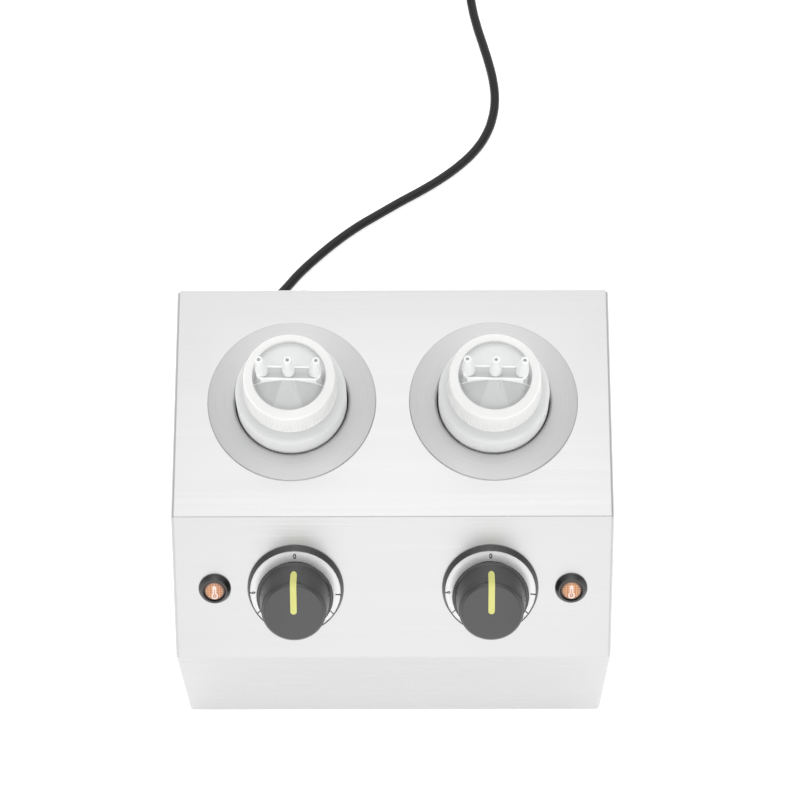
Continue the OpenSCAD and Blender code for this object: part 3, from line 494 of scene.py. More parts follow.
# Casing: one folded sheet for front, slope and top, between two side panels
casing = {"sheet": 1.0, "fold": 2.0, "foldSteps": 6, "flange": 12.0,
          "wellHole": 39.5, "bushHole": 5.2, "lampHole": 6.4, "toolReach": 5}
slopeAngle = math.atan2(joints["knob_left_turn"]["axis"][1], -joints["knob_left_turn"]["axis"][2])
dialPlaces = {side: Vector(joints[f"knob_{side}_turn"]["pos_m"]) for side in sides}
bottlePlaces = {side: Vector((*joints[f"cap_{side}_turn"]["pos_m"][:2], 0)) for side in sides}


def middle(node):
    low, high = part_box(node)
    return (low + high) / 2


wellPlaces = {side: Vector((*middle(f"well_{side}").xy, 0)) for side in sides}
lampPlaces = {side: Vector((middle(f"lamp_{side}").x, dialPlaces[side].y, dialPlaces[side].z))
              for side in sides}


def casingCorners():  # the casing seen from its side, as depth and height
    low, high = (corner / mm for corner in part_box("casing_wrap"))
    dial = dialPlaces["left"] / mm
    lowerFold = dial.z - (dial.y - low.y) * math.tan(slopeAngle)
    upperFold = dial.y + (high.z - dial.z) / math.tan(slopeAngle)
    return low, high, [(low.y, low.z), (low.y, lowerFold), (upperFold, high.z),
                       (high.y, high.z), (high.y, low.z)]


def onSlope(piece, at):
    return place(piece, at, (slopeAngle, 0, 0))


def roundTool(radius, low, high, at, tilt=0):
    freeSelection()
    bpy.ops.mesh.primitive_cylinder_add(vertices=96, radius=radius * mm,
                                        depth=(high - low) * mm,
                                        location=(0, 0, (low + high) / 2 * mm))
    tool = bpy.context.object
    bpy.ops.object.transform_apply(location=True)
    return place(tool, at, (tilt, 0, 0))


def makeWrap():
    low, high, corners = casingCorners()
    fold = (casing["fold"],)
    front, lowerFold, upperFold, rear = corners[:4]
    outline = [(front[0] + casing["flange"], front[1]), front + fold, lowerFold + fold,
               upperFold + fold, rear + fold, (rear[0], rear[1] - casing["flange"])]
    points = [(low.x * mm, y * mm, z * mm) for y, z in softened(outline)]
    piece = drawLine("casingWrap", points)
    pull(high.x - low.x, 0, 0)
    flipIf(piece, lambda at, normal: at.z > high.z * mm - near and normal.z < 0)
    stopEditing()
    modify(piece, "SOLIDIFY", thickness=casing["sheet"] * mm, offset=-1, use_even_offset=True)
    tools = []
    for side in sides:
        onTop = wellPlaces[side] + Vector((0, 0, high.z * mm))
        for hole, at, tilt in (("wellHole", onTop, 0),
                               ("bushHole", dialPlaces[side], slopeAngle),
                               ("lampHole", lampPlaces[side], slopeAngle)):
            tools.append(roundTool(casing[hole], -casing["toolReach"], casing["toolReach"],
                                   at, tilt))
    combine(piece, "DIFFERENCE", *tools)
    finishPiece(piece, casingSteel, "casing_steel", "casing", "casing_wrap")


def makeSidePanels():
    low, high, corners = casingCorners()
    outline = [corner + (casing["fold"],) for corner in corners]
    outline = softened(outline, steps=casing["foldSteps"])
    points = [(high.x * mm, y * mm, z * mm) for y, z in outline]
    piece = drawLine("sidePanelRight", points, closed=True)
    bpy.ops.mesh.edge_face_add()
    flipIf(piece, lambda at, normal: normal.x < 0)
    bpy.ops.mesh.select_mode(type="FACE")
    bpy.ops.mesh.select_all(action="SELECT")
    arc = [math.pi / 2 * k / casing["foldSteps"] for k in range(casing["foldSteps"] + 1)]
    for first, second in zip(arc, arc[1:]):
        inwards = casing["fold"] * (math.cos(first) - math.cos(second))
        outwards = casing["fold"] * (math.sin(second) - math.sin(first))
        bpy.ops.mesh.inset(thickness=inwards * mm, depth=0, use_even_offset=True)
        bpy.ops.transform.translate(value=(outwards * mm, 0, 0))
    seam = high.x * mm
    pick(piece, "EDGE", lambda at, normal: abs(at.x - seam) < near
         and (abs(at.y - high.y * mm) < near or abs(at.z - low.z * mm) < near))
    pull(casing["fold"] - casing["flange"], 0, 0)
    mend()
    flipIf(piece, lambda at, normal: at.x > seam + casing["fold"] * mm - near and normal.x < 0)
    stopEditing()
    modify(piece, "SOLIDIFY", thickness=casing["sheet"] * mm, offset=-1, use_even_offset=True)
    twin = copyOf(piece, "sidePanelLeft")
    place(twin, size=(-1, 1, 1))
    edit(twin)
    mend()
    stopEditing()
    finishPiece(piece, sideSteel, "casing_steel", "casing", "side_panel_right")
    finishPiece(twin, sideSteel, "casing_steel", "casing", "side_panel_left")


makeWrap()
makeSidePanels()
print("casing folded")

# Feet: moulded rubber, ringed where the mould parts
foot = [(5, 0, 0.3), (10, 0, 0.8), (10.8, 2.2, 0.5), (11.1, 2.6, 0.3), (12, 6.2, 0.5),
        (11.5, 7, 0.3), (2.7, 7), (2.7, 3.2), (5, 3.2)]


def makeFeet():
    first = turned("footModel", foot, 64)
    rubber = mouldedPlastic("epdmRubber", "#1C1C1D", "#232324", 0.62, grain=0.7)
    for end in ("front", "rear"):
        for side in sides:
            node = f"foot_{end}_{side}"
            low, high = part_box(node)
            name = f"foot{end.capitalize()}{side.capitalize()}"
            piece = place(copyOf(first, name), ((low.x + high.x) / 2, (low.y + high.y) / 2, low.z))
            finishPiece(piece, rubber, "foot_rubber", "casing", node)
    bpy.data.objects.remove(first)


makeFeet()
print("feet moulded")

# Wells: drawn pots with a rounded lip and a flange on the top panel
well = [(0, 40), (37, 40, 3), (37, 195), (36.1, 204, 3), (36.1, 209.7, 2), (54, 209, 0.7),
        (54, 208, 0.2), (38, 208.7, 1), (38, 39, 4), (0, 39)]  # rolled in a little at its mouth


def makeWells():
    steel = {side: turnedStainless(f"turnedStainless{side.capitalize()}", at.x, at.y)
             for side, at in wellPlaces.items()}
    makePair(turned("wellModel", well, 160), "well", wellPlaces, steel, "well_steel",
             "casing", "well_{}")


makeWells()
print("wells drawn")

# Dials: black bezel, flat silver ring with grey figures, and the knob on its shaft
dial = {
    "bezel": [(5.2, 0), (30.7, 0, 0.15), (30.7, 0.9, 0.3), (29.3, 5.8, 0.5), (28.95, 5.8),
              (28.95, 4.4), (21.4, 4.4), (21.4, 1), (5.2, 1)],
    "ring": [(21.5, 4.4), (28.9, 4.4), (28.9, 5.2, 0.15), (21.5, 5.2, 0.15)], "ringFace": 5.2,
    "knob": [(0, 29), (19, 29), (19, 4), (20.6, 4, 0.2), (20.6, 11.2, 0.3), (24.4, 11.8, 0.2),
             (24.4, 12.6, 0.5), (23.4, 12.9, 0.2), (22.8, 13.6, 0.4), (22.0, 18.5), (21.3, 24),
             (20.5, 31.2, 0.2), (19.8, 31.5, 0.1), (19.8, 32.5, 0.1), (20.15, 32.8, 0.2),
             (18.6, 34.2, 1.2), (0, 34.2)],
    "pointer": [(22.8, 13.6), (22.0, 18.5), (21.3, 24), (20.5, 31.8), (20.1, 32.9, 0.6),
                (18.6, 34.1, 1.0)],
    "pointerWidth": 4.0, "pointerProud": 0.3, "pointerLow": 20.0, "pointerTip": 4.5,
    "pointerEnd": -1.0, "tipSteps": 16, "faceUp": 32, "reach": 40,  # the face is above 32
    "figureHeight": 3.4, "figureDepth": 0.12, "figureBold": 0.14, "capShare": 0.7,
    "figures": {"0": (0, 25, 0.82), "1": (94, 27.1, 1.1), "6": (269, 27, 0.72)},
    "ticks": {122: 16, 150: 0, 180: 0, 210: 0, 239: -16},  # each place and its lean, in degrees
    "tickRadius": 26.9, "tick": (0.32, 1.85, 0.05), "printProud": 0.02,
}


def makeBezels():
    satin = mouldedPlastic("satinBlackAbs", "#303031", "#363637", 0.25, depth=0.008,
                           specular=1.0)
    makePair(turned("bezelModel", dial["bezel"], 128), "bezel", dialPlaces, satin,
             "bezel_black", "casing", "bezel_{}", slopeAngle)


# Dial ring: hot-stamped silver foil under lacquer, bright, with a fine satin haze
def stampedFoil():
    material, tree = startMaterial("stampedFoil")
    haze = mottling(tree, 3.33)
    return coat(material, {"Base Color": between(tree, haze, "#F6F6F6", "#FAFAFA"),
                           "Metallic": 0.25, "Roughness": between(tree, haze, 0.42, 0.46)})


def printOnRing(piece, radius, turn, at):
    place(piece, (0, radius * mm, (dial["ringFace"] + dial["printProud"]) * mm))
    place(piece, (0, 0, 0), (0, 0, -math.radians(turn)))
    return onSlope(piece, at)


def makeFigures(side, ink):
    at = dialPlaces[side]
    marks = []
    for text, (turn, radius, wide) in dial["figures"].items():
        freeSelection()
        bpy.ops.object.text_add()
        mark = bpy.context.object
        mark.data.body = text
        mark.data.size = dial["figureHeight"] / dial["capShare"] * mm
        mark.data.align_x = "CENTER"
        mark.data.align_y = "CENTER"
        mark.data.extrude = dial["figureDepth"] / 2 * mm
        mark.data.offset = dial["figureBold"] * mm
        mark.data.resolution_u = 4
        bpy.ops.object.convert(target="MESH")
        place(mark, size=(wide, 1, 1))
        marks.append(printOnRing(mark, radius, turn, at))
    w, half, deep = dial["tick"]
    for turn, lean in dial["ticks"].items():
        tick = slab("tick", [(-w, -half), (w, -half), (w, half), (-w, half)], -deep, deep)
        place(tick, turn=(0, 0, -math.radians(lean)))
        marks.append(printOnRing(tick, dial["tickRadius"], turn, at))
    marks[0].name = marks[0].data.name = f"dialFigures{side.capitalize()}"
    join(*marks)
    edit(marks[0])
    bpy.ops.mesh.remove_doubles(threshold=near)
    stopEditing()
    finishPiece(marks[0], ink, "dial_silver", "casing")


def makeDialRings():
    makePair(turned("ringModel", dial["ring"], 128), "dialRing", dialPlaces, stampedFoil(),
             "dial_silver", "casing", "dial_ring_{}", slopeAngle)
    ink = mouldedPlastic("screenInk", "#38383A", "#3E3E40", 0.6)
    for side in sides:
        makeFigures(side, ink)


def makeKnobs():
    grey = mouldedPlastic("greyAbs", "#3B3B3B", "#3F3F3F", 0.2, grain=0.6, depth=0.005,
                          specular=0.6)
    yellow = mouldedPlastic("yellowInlay", "#D2D27C", "#D8D782", 0.5)
    knob = turned("knobModel", dial["knob"], 128)
    proud = dial["pointerProud"]
    grown = [(r + proud, h + (proud if h > dial["faceUp"] else 0)) + tuple(rest)
             for r, h, *rest in dial["pointer"]]
    (outer, foot), top = grown[0][:2], grown[-1][1]
    strip = turned("pointerModel", [(0, foot), (outer, foot)] + grown[1:] + [(0, top)], 128)
    w, end, low = dial["pointerWidth"] / 2, dial["pointerEnd"], dial["pointerLow"]
    far, round = dial["reach"], w * 0.98
    across = slab("across", [(-w, end, round), (w, end, round), (w, far), (-w, far)], 0, far)
    turns = [math.pi * k / dial["tipSteps"] for k in range(dial["tipSteps"] + 1)]
    w *= 1.01
    tip = [(-w * math.cos(turn), low + dial["pointerTip"] * (1 - math.sin(turn)))
           for turn in turns]
    along = slab("along", tip + [(w, far), (-w, far)], -far, far)
    place(along, turn=(math.pi / 2, 0, 0))
    combine(strip, "INTERSECT", across, along)
    makePair(knob, "knob", dialPlaces, grey, "knob_grey", "knob_{}", "knob_{}", slopeAngle, 45)
    makePair(strip, "pointer", dialPlaces, yellow, "pointer_yellow", "knob_{}", "pointer_{}",
             slopeAngle)


makeBezels()
makeDialRings()
makeKnobs()
print("dials and knobs made")

# Pilot lamps: black bezel, orange prismatic lens and a printed thermometer sign
lamp = {
    "bezel": [(0, 0), (10.3, 0, 0.1), (10.3, 0.9, 0.3), (8.3, 4.6, 0.7), (7.2, 4.6, 0.3),
              (6.9, 3.6), (6.9, 0.8), (0, 0.8)],
    "lens": [(0, 0.8), (6.8, 0.8), (6.8, 2.9, 0.4), (5.9, 4.0, 0.8), (4.6, 4.3, 2), (0, 4.4)],
    "clear": 5.0, "rim": 5.6, "prism": 1.65, "dots": (0.18, 0.4),  # dots in prism widths
    "signProud": 0.15, "signBase": 3.6, "bulb": (0.1, -3.2, 2.15), "bore": 1.2, "dot": 0.5,
    "stem": [(-1.2, -2), (1.2, -2), (1.2, 3.2, 0.3), (0, 4.5, 0.4), (-1.2, 3.2, 0.3)],
    "line": [(-0.35, -2.6), (0.35, -2.6), (0.35, 1.2, 0.3), (-0.35, 1.2, 0.3)],
}


# Lens: polycarbonate, tinted orange; rows of small prisms behind it catch light as dots,
# and its thick edge looks brown
def prismaticLens(name, at):
    material, tree = startMaterial(name)
    flat = addNode(tree, "VectorMath", facePlace(tree, at), (1, 1, 0), operation="MULTIPLY")
    reach = addNode(tree, "VectorMath", flat, operation="LENGTH")
    cells = addNode(tree, "TexVoronoi", {"Vector": flat, "Scale": 1 / (lamp["prism"] * mm),
                                         "Randomness": 0.0}, feature="F1")
    dots = addNode(tree, "MapRange", cells, *lamp["dots"], 1.0, 0.0)
    cloud = mottling(tree, 5.88, detail=1)
    field = addNode(tree, "Mix", {0: dots, 6: between(tree, cloud, "#B86D47", "#C5824B"),
                                  7: "#E6B98D"}, data_type="RGBA")
    edge = addNode(tree, "MapRange", reach, lamp["clear"] * mm, lamp["rim"] * mm)
    colour = addNode(tree, "Mix", {0: edge, 6: field, 7: "#8A7469"},
                     data_type="RGBA")
    return coat(material, {"Base Color": colour, "Roughness": 0.2, "Coat Weight": 0.3},
                dots, 0.05, 0.3)


def makeSign():  # a plain thermometer: a bulb, a stem with a pointed top and a filled line
    low, high = lamp["signBase"], lamp["lens"][-1][1] + lamp["signProud"]
    x, y, r = lamp["bulb"]
    sign = slab("sign", lamp["stem"], low, high)
    bulb = roundTool(r, low, high, (x * mm, y * mm, 0))
    combine(sign, "UNION", bulb)
    line = slab("line", lamp["line"], low - past, high + past)
    bore = roundTool(lamp["bore"], low - past, high + past, (x * mm, y * mm, 0))
    combine(sign, "DIFFERENCE", line, bore)
    dot = roundTool(lamp["dot"], low, high, (x * mm, y * mm, 0))
    return join(sign, dot)


def makeLamps():
    glossy = mouldedPlastic("glossyPolyamide", "#222322", "#292A29", 0.2, depth=0.008,
                            specular=0.8)
    ink = mouldedPlastic("paleScreenInk", "#F3D8CE", "#F7E2DA", 0.5)
    amber = {side: prismaticLens(f"orangePolycarbonate{side.capitalize()}", at)
             for side, at in lampPlaces.items()}
    makePair(turned("lampModel", lamp["bezel"], 96), "lamp", lampPlaces, glossy, "lamp_black",
             "casing", "lamp_{}", slopeAngle)
    makePair(turned("lensModel", lamp["lens"], 96), "lens", lampPlaces, amber, "lens_orange",
             "casing", "lens_{}", slopeAngle)
    makePair(makeSign(), "thermometerSign", lampPlaces, ink, "lens_orange", "casing",
             tilt=slopeAngle)


makeLamps()
print("lamps made")

# Squeeze bottles, their nozzle pieces and screw rings
bottle = {
    "outline": [(0, 40), (35.3, 40, 3), (35.3, 227, 3), (31, 228.4, 1.5), (26.6, 230.4, 1.2),
                (26.6, 249.5), (25.4, 249.5), (25.4, 229.4, 1), (30.6, 227.3, 1),
                (34.1, 225.8, 2), (34.1, 41.2, 2), (0, 41.2)],
    "ring": [(27.2, 230.8), (29.7, 230.8, 0.2), (29.9, 231.9, 0.3), (29.15, 232.3, 0.2),
             (29.1, 245.8), (28.9, 250.0, 1.0), (28.1, 251.4, 0.8), (24.0, 253.2, 0.5),
             (23.0, 253.2, 0.3), (22.9, 250.94), (27.2, 250.94)],
    "knurls": 72, "knurlRadius": 29.1, "knurlHeights": (232.2, 245.8), "knurlTop": (0.6, 0.4, 1),
    "knurl": [(-0.75, -0.3), (0.75, -0.3), (0.375, 0.6, 0.2), (-0.375, 0.6, 0.2)],
    "shoulder": (225.2, 226.6), "shadedInWell": (195, 209),  # heights where the painted shade on the shoulder and in the well begins
    "depth": 6.0,  # how far light spreads in it
}


# Bottle: natural LDPE, blown, milky where light goes through it; its colour holds painted shade,
# greyer low down the body, where it sinks into the well, and a little greyer on the shoulder
def naturalPolyethylene():
    material, tree = startMaterial("naturalLdpe")
    cloud = mottling(tree, 16.7)
    start = addNode(tree, "TexCoord").outputs["Object"]
    height = addNode(tree, "SeparateXYZ", start).outputs[2]
    low, high = (z * mm for z in bottle["shoulder"])
    # painted shade: the body turns grey below the flange, where it sinks into the shaded well
    deepShade, thick = bottle["shadedInWell"]
    shoulderShade = addNode(tree, "MapRange", height, low, high)
    body = addNode(tree, "Mix", {0: stepped(tree, height, (deepShade, "#000000"), (thick, "#FFFFFF")),
                                 6: "#D3D6D6",
                                 7: between(tree, cloud, "#F4F5F5", "#F9FAFA")},
                   data_type="RGBA")
    # painted shade: the shoulder and neck a little greyer than the body
    colour = addNode(tree, "Mix", {0: shoulderShade, 6: body, 7: "#DCDDDD"},
                     data_type="RGBA")
    return coat(material, {"Base Color": colour, "Roughness": 0.38, "IOR": 1.5,
                           "Subsurface Weight": 0.25, "Subsurface Radius": (1, 1, 1),
                           "Subsurface Scale": bottle["depth"] * mm}, cloud, 0.05, 0.2)


# Nozzle piece: natural LDPE, moulded, frosted, with painted light and shade by place: the roof
# painted grey for the dark bottle behind its thin walls, rims and tips painted white, partly their
# own look end on, partly painted highlight
def frostedPolyethylene(name, at, turn):
    material, tree = startMaterial(name)
    start = addNode(tree, "TexCoord").outputs["Object"]
    own = addNode(tree, "Mapping", start, (at.x, at.y, 0), (0, 0, math.radians(turn)),
                  vector_type="TEXTURE")
    across, ahead, height = addNode(tree, "SeparateXYZ", own).outputs
    across = addNode(tree, "Math", across, operation="ABSOLUTE")
    edge = addNode(tree, "Math", ahead, nozzle["fanSpread"], across, operation="MULTIPLY_ADD")
    cloud = mottling(tree, 8.33)
    # painted highlight: the flat front fan lighter than the roof beside it
    front = addNode(tree, "Mix", {0: stepped(tree, edge, (1.3, "#000000"), (2.1, "#FFFFFF")),
                                  6: "#CBCCCC",
                                  7: between(tree, cloud, "#BFC0C0", "#C4C5C5")},
                    data_type="RGBA")
    # painted highlight: a pale line along the bar's front edge
    wall = addNode(tree, "Mix", {0: stepped(tree, ahead, (-6, "#000000"), (-5.8, "#FFFFFF"),
                                            (-5.5, "#FFFFFF"), (-5.3, "#000000")),
                                 6: front, 7: "#EBECEC"}, data_type="RGBA")
    # painted light: the rear of the roof lighter, as if lit by light bounced off the ring
    rear = stepped(tree, ahead, (-3, "#B8B9B9"), (6, "#DEDFDF"), (21, "#E6E7E7"))
    roof = addNode(tree, "Mix", {0: stepped(tree, ahead, (-3, "#000000"), (-2, "#FFFFFF")),
                                 6: wall, 7: rear}, data_type="RGBA")
    # bar and tips: white rims and tip ends, partly the plastic's whiter look end on, partly
    # painted highlight
    solid = stepped(tree, height, (nozzle["ridge"], "#000000"),
                    (nozzle["ridge"] + 0.3, "#FFFFFF"))
    white, milky = "#F4F5F5", "#E2E3E3"
    tips = stepped(tree, height, (260, white), (261.4, white), (262, milky),
                   (278.4, milky), (279.4, white))
    colour = addNode(tree, "Mix", {0: solid, 6: roof, 7: tips}, data_type="RGBA")
    return coat(material, {"Base Color": colour, "Roughness": 0.35, "IOR": 1.5,
                           "Subsurface Weight": 0.3, "Subsurface Radius": (1, 1, 1),
                           "Subsurface Scale": nozzle["depth"] * mm}, cloud, 0.05, 0.25)


def makeBottles():
    makePair(turned("bottleModel", bottle["outline"], 128), "bottle", bottlePlaces,
             naturalPolyethylene(), "bottle_polyethylene", "bottle_{}", "bottle_{}")


# Nozzle piece: a flange under the ring, a roof that rises to a bar, and three tips on the bar
nozzle = {
    "flange": [(0, 249.5), (26.4, 249.5, 0.2), (26.4, 250.9, 0.3), (0, 250.9)],
    "points": 72, "roof": 22.4, "roofFoot": 250.2, "wall": 1.2,
    "ridge": 260.2, "ridgeEnd": 255.0, "ridgeFront": 5.2, "ridgeBack": 3.0, "fanSpread": 0.37,
    "ridgeLine": [(0, 0), (25, 3.7), (85, 19.2), (95, 19.2), (180, 0)],  # degrees, and reach
    "barFoot": 252.0, "barTop": 261.0, "rim": 1.2, "pan": 0.9, "spacing": 16.6, "lean": 3.5,
    "bar": [(20.3, -5.7, 4.4), (20.3, 3.4, 4.2), (-20.3, 3.4, 4.2), (-20.3, -5.7, 4.4)],
    "turn": {"left": -1.2, "right": -1.6},  # degrees, as the pieces stand in the bottles
    "depth": 3.0,  # how far light spreads in it
    "tip": [(0, 258), (4.1, 258), (4.1, 261.2, 1), (3.9, 265, 3), (2.75, 275, 6),
            (2.2, 279.45, 0.5), (1.15, 279.45, 0.2), (1.05, 277), (0, 277)],
}


def alongLine(knots, value):
    for (first, low), (last, high) in zip(knots, knots[1:]):
        if value <= last:
            return low + (high - low) * (value - first) / (last - first)
    return knots[-1][1]


def makeRoof(inset):  # a round foot, and a ridge that falls to both ends; its front has a flat fan
    base, ridge = [], []
    fanReach, (endTurn, endReach) = nozzle["ridgeLine"][1][1], nozzle["ridgeLine"][2]
    r = nozzle["roof"] - inset
    front, back = nozzle["ridgeFront"] - inset, nozzle["ridgeBack"] - inset
    for k in range(nozzle["points"]):
        turn = 360 * k / nozzle["points"] - 180  # from the front
        across, ahead = math.sin(math.radians(turn)), math.cos(math.radians(turn))
        base.append(Vector((r * across, -r * ahead, nozzle["roofFoot"] - inset)) * mm)
        reach = alongLine(nozzle["ridgeLine"], abs(turn))
        fall = max(0, reach - fanReach) / (endReach - fanReach)
        height = nozzle["ridge"] - inset + (nozzle["ridgeEnd"] - nozzle["ridge"]) * fall
        x = math.copysign(max(0, reach - inset * fall), across)
        share = max(-1, min(1, (90 - abs(turn)) / (90 - endTurn)))
        y = -share * (front if share > 0 else back)
        ridge.append(Vector((x, y, height)) * mm)
    roof = bridged("roof", base, ridge)
    edit(roof)
    pick(roof, "EDGE", lambda at, normal: abs(at.z - base[0].z) < near)
    bpy.ops.mesh.edge_face_add()
    bpy.ops.mesh.select_all(action="DESELECT")
    bpy.ops.mesh.select_non_manifold()
    bpy.ops.mesh.edge_face_add()
    mend()
    stopEditing()
    return roof


def makeNozzleBar():  # its top is a shallow pan with a rim
    bar = slab("nozzleBar", nozzle["bar"], nozzle["barFoot"], nozzle["barTop"])
    edit(bar)
    pick(bar, "FACE", lambda at, normal: normal.z > 0.9)
    bpy.ops.mesh.inset(thickness=nozzle["rim"] * mm, depth=0)
    pull(0, 0, -nozzle["pan"])
    stopEditing()
    return softEdges(bar, 0.3)


def makeNozzles():
    model = turned("nozzleModel", nozzle["flange"], 96)
    tips = [place(turned("tip", nozzle["tip"], 48), (0, 0, -nozzle["barTop"] * mm))
            for k in (-1, 0, 1)]
    for k, tip in zip((-1, 0, 1), tips):  # the outer tips lean outwards
        place(tip, (k * nozzle["spacing"] * mm, 0, nozzle["barTop"] * mm),
              (0, k * math.radians(nozzle["lean"]), 0))
    combine(model, "UNION", makeRoof(0), makeNozzleBar(), *tips)
    combine(model, "DIFFERENCE", makeRoof(nozzle["wall"]))
    for side, at in bottlePlaces.items():
        piece = place(copyOf(model, f"nozzlePiece{side.capitalize()}"), at,
                      (0, 0, math.radians(nozzle["turn"][side])))
        frosted = frostedPolyethylene(f"frostedLdpe{side.capitalize()}", at,
                                      nozzle["turn"][side])
        finishPiece(piece, frosted, "nozzle_polyethylene", f"nozzle_{side}", f"nozzle_{side}")
    bpy.data.objects.remove(model)


# Screw ring: white polypropylene, glossy from the mould
def makeScrewRings():
    white = mouldedPlastic("whitePolypropylene", "#E8E8E7", "#EDEDEC", 0.35)
    ring = turned("screwRingModel", bottle["ring"], 144)
    low, high = bottle["knurlHeights"]
    knurl = slab("knurl", bottle["knurl"], low, high, 2)
    edit(knurl)
    pick(knurl, "FACE", lambda at, normal: normal.z > 0.9)
    bpy.ops.transform.resize(value=bottle["knurlTop"],
                             center_override=(0, bottle["knurl"][0][1] * mm, high * mm))
    stopEditing()
    place(knurl, (0, bottle["knurlRadius"] * mm, 0))
    edit(knurl)
    bpy.ops.mesh.spin(steps=bottle["knurls"], angle=2 * math.pi, dupli=True,
                      center=(0, 0, 0), axis=(0, 0, 1))
    stopEditing()
    join(ring, knurl)
    makePair(ring, "screwRing", bottlePlaces, white, "cap_white", "cap_{}", "cap_{}")


makeBottles()
makeNozzles()
makeScrewRings()
print("bottles filled in")

# Gland, plug and tie, the pieces on the cord
def ribbed(start, end, count, depth):  # a tapered sleeve's outline with grooves round it
    corners = [start + (0.4,)]
    for k in range(1, 2 * count):
        share = k / (2 * count)
        radius = start[0] + (end[0] - start[0]) * share
        height = start[1] + (end[1] - start[1]) * share
        sunk = depth if k % 2 == 0 else 0
        corners += [(radius - depth + sunk, height - 0.4), (radius - sunk, height + 0.4)]
    return corners + [end + (0.3,)]


fittings = {
    "gland": [(3.2, -6), (7.8, -6), (7.8, 0), (10, 0, 0.2), (10, 2.2, 0.6), (9.2, 3, 0.3),
              (6.9, 3, 0.4), *ribbed((6.4, 4.8), (4.4, 25.6), 6, 0.5), (4.0, 26), (3.2, 26)],
    "plug": [(0, 0), (4.1, 0), *ribbed((4.4, 0.8), (6.4, 22.6), 6, 0.5), (8.4, 24, 0.8),
             (11.5, 28, 2), (13.2, 36, 8), (14.5, 43, 3), (17.9, 46, 1), (18.5, 47, 0.5),
             (18.5, 59.2, 0.5), (17.7, 60, 0.4), (0, 60)],
    "plugFace": 60.0, "dish": 15.5, "dishDepth": 0.6, "grooveWide": 7.0, "grooveDeep": 2.8,
    "grooveLow": 45.0,
}


def makeGland():
    piece = turned("cableGland", fittings["gland"], 64)
    place(piece, turn=(-math.pi / 2, 0, 0))
    x, z = cord["route"][0][0] * mm, cord["route"][0][2] * mm
    place(piece, (x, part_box("rear_panel")[1].y, z))
    rubber = mouldedPlastic("softPvc", "#1D1D1E", "#262627", 0.5, depth=0.03)
    finishPiece(piece, rubber, "gland_black", "casing", "cable_gland")
    return piece, rubber


def makePlug(rubber):
    points, onward = cordPoints()
    piece = turned("plugBody", fittings["plug"], 96)
    face, edge = fittings["plugFace"], fittings["plug"][-3][0]
    half, deep = fittings["grooveWide"] / 2, fittings["grooveDeep"]
    dish = roundTool(fittings["dish"], face - fittings["dishDepth"], face + past, (0, 0, 0))
    combine(piece, "DIFFERENCE", dish)
    for side in (-1, 1):
        groove = slab("groove", [(edge - deep, -half), (edge + past, -half),
                                 (edge + past, half), (edge - deep, half)],
                      fittings["grooveLow"], face + past)
        combine(piece, "DIFFERENCE", place(groove, turn=(0, 0, math.pi * (side < 0))))
    place(piece, turn=(0, math.pi / 2, 0))
    place(piece, turn=(0, 0, math.atan2(onward.y, onward.x)))
    place(piece, points[-1])
    finishPiece(piece, rubber, "plug_black", "casing", "plug_body")
    return piece


# Hook-and-loop tape, woven nylon: rows of small loops 0.7 mm apart give it a dull nap
def loopTape():
    material, tree = startMaterial("hookAndLoopTape")
    loops = addNode(tree, "TexVoronoi", {"Vector": inSteps(tree, 0.7), "Scale": 1.0,
                                         "Randomness": 0.6}, feature="F1")
    return coat(material, {"Base Color": between(tree, loops, "#2E2E30", "#17171A"),
                           "Roughness": 0.9, "Sheen Weight": 0.4, "Sheen Roughness": 0.4},
                loops, 0.3, 0.8)


tie = {"thick": 0.8, "corner": 3.0, "soft": 0.15,
       "tab": (4.0, 15.0), "tabThick": 0.6, "tabInset": 0.3, "tabSunk": 0.05, "tabSoft": 0.2}


def makeTie():  # a strap round the coil's turns, its end pressed down on top
    low, high = (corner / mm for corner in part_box("coil_tie"))
    wide = high.y - low.y
    outline = [(low.x, low.z, tie["corner"]), (high.x, low.z, tie["corner"]),
               (high.x, high.z, tie["corner"]), (low.x, high.z, tie["corner"])]
    points = [(x * mm, low.y * mm, z * mm) for x, z in softened(outline)]
    strap = drawLine("coilTie", points, closed=True)
    pull(0, wide, 0)
    mend()
    flipIf(strap, lambda at, normal: at.z > high.z * mm - near and normal.z < 0)
    stopEditing()
    modify(strap, "SOLIDIFY", thickness=tie["thick"] * mm, offset=-1, use_even_offset=True)
    start, end = tie["tab"]
    half = wide / 2 - tie["tabInset"]
    tab = slab("tab", [(start, -half), (end, -half, half * 0.9), (end, half, half * 0.9),
                       (start, half)], high.z - tie["tabSunk"], high.z + tie["tabThick"])
    softEdges(tab, tie["tabSoft"])
    place(tab, (low.x * mm, (low.y + high.y) / 2 * mm, 0))
    join(strap, tab)
    softEdges(strap, tie["soft"])
    finishPiece(strap, loopTape(), "tie_fabric", "casing", "coil_tie")
    return strap


gland, softPvc = makeGland()
plug = makePlug(softPvc)
coilTie = makeTie()
print("gland, plug and tie made")


# Mineral wool: pressed stone fibres, matt, in short tangled strands about 2 mm wide
def pressedWool():
    material, tree = startMaterial("mineralWool")
    strands = mottling(tree, 2, 2, 8.33, detail=4, rough=0.7)
    return coat(material, {"Base Color": between(tree, strands, "#A3926B", "#CDBD95"),
                           "Roughness": 0.95}, strands, 0.6, 0.8)


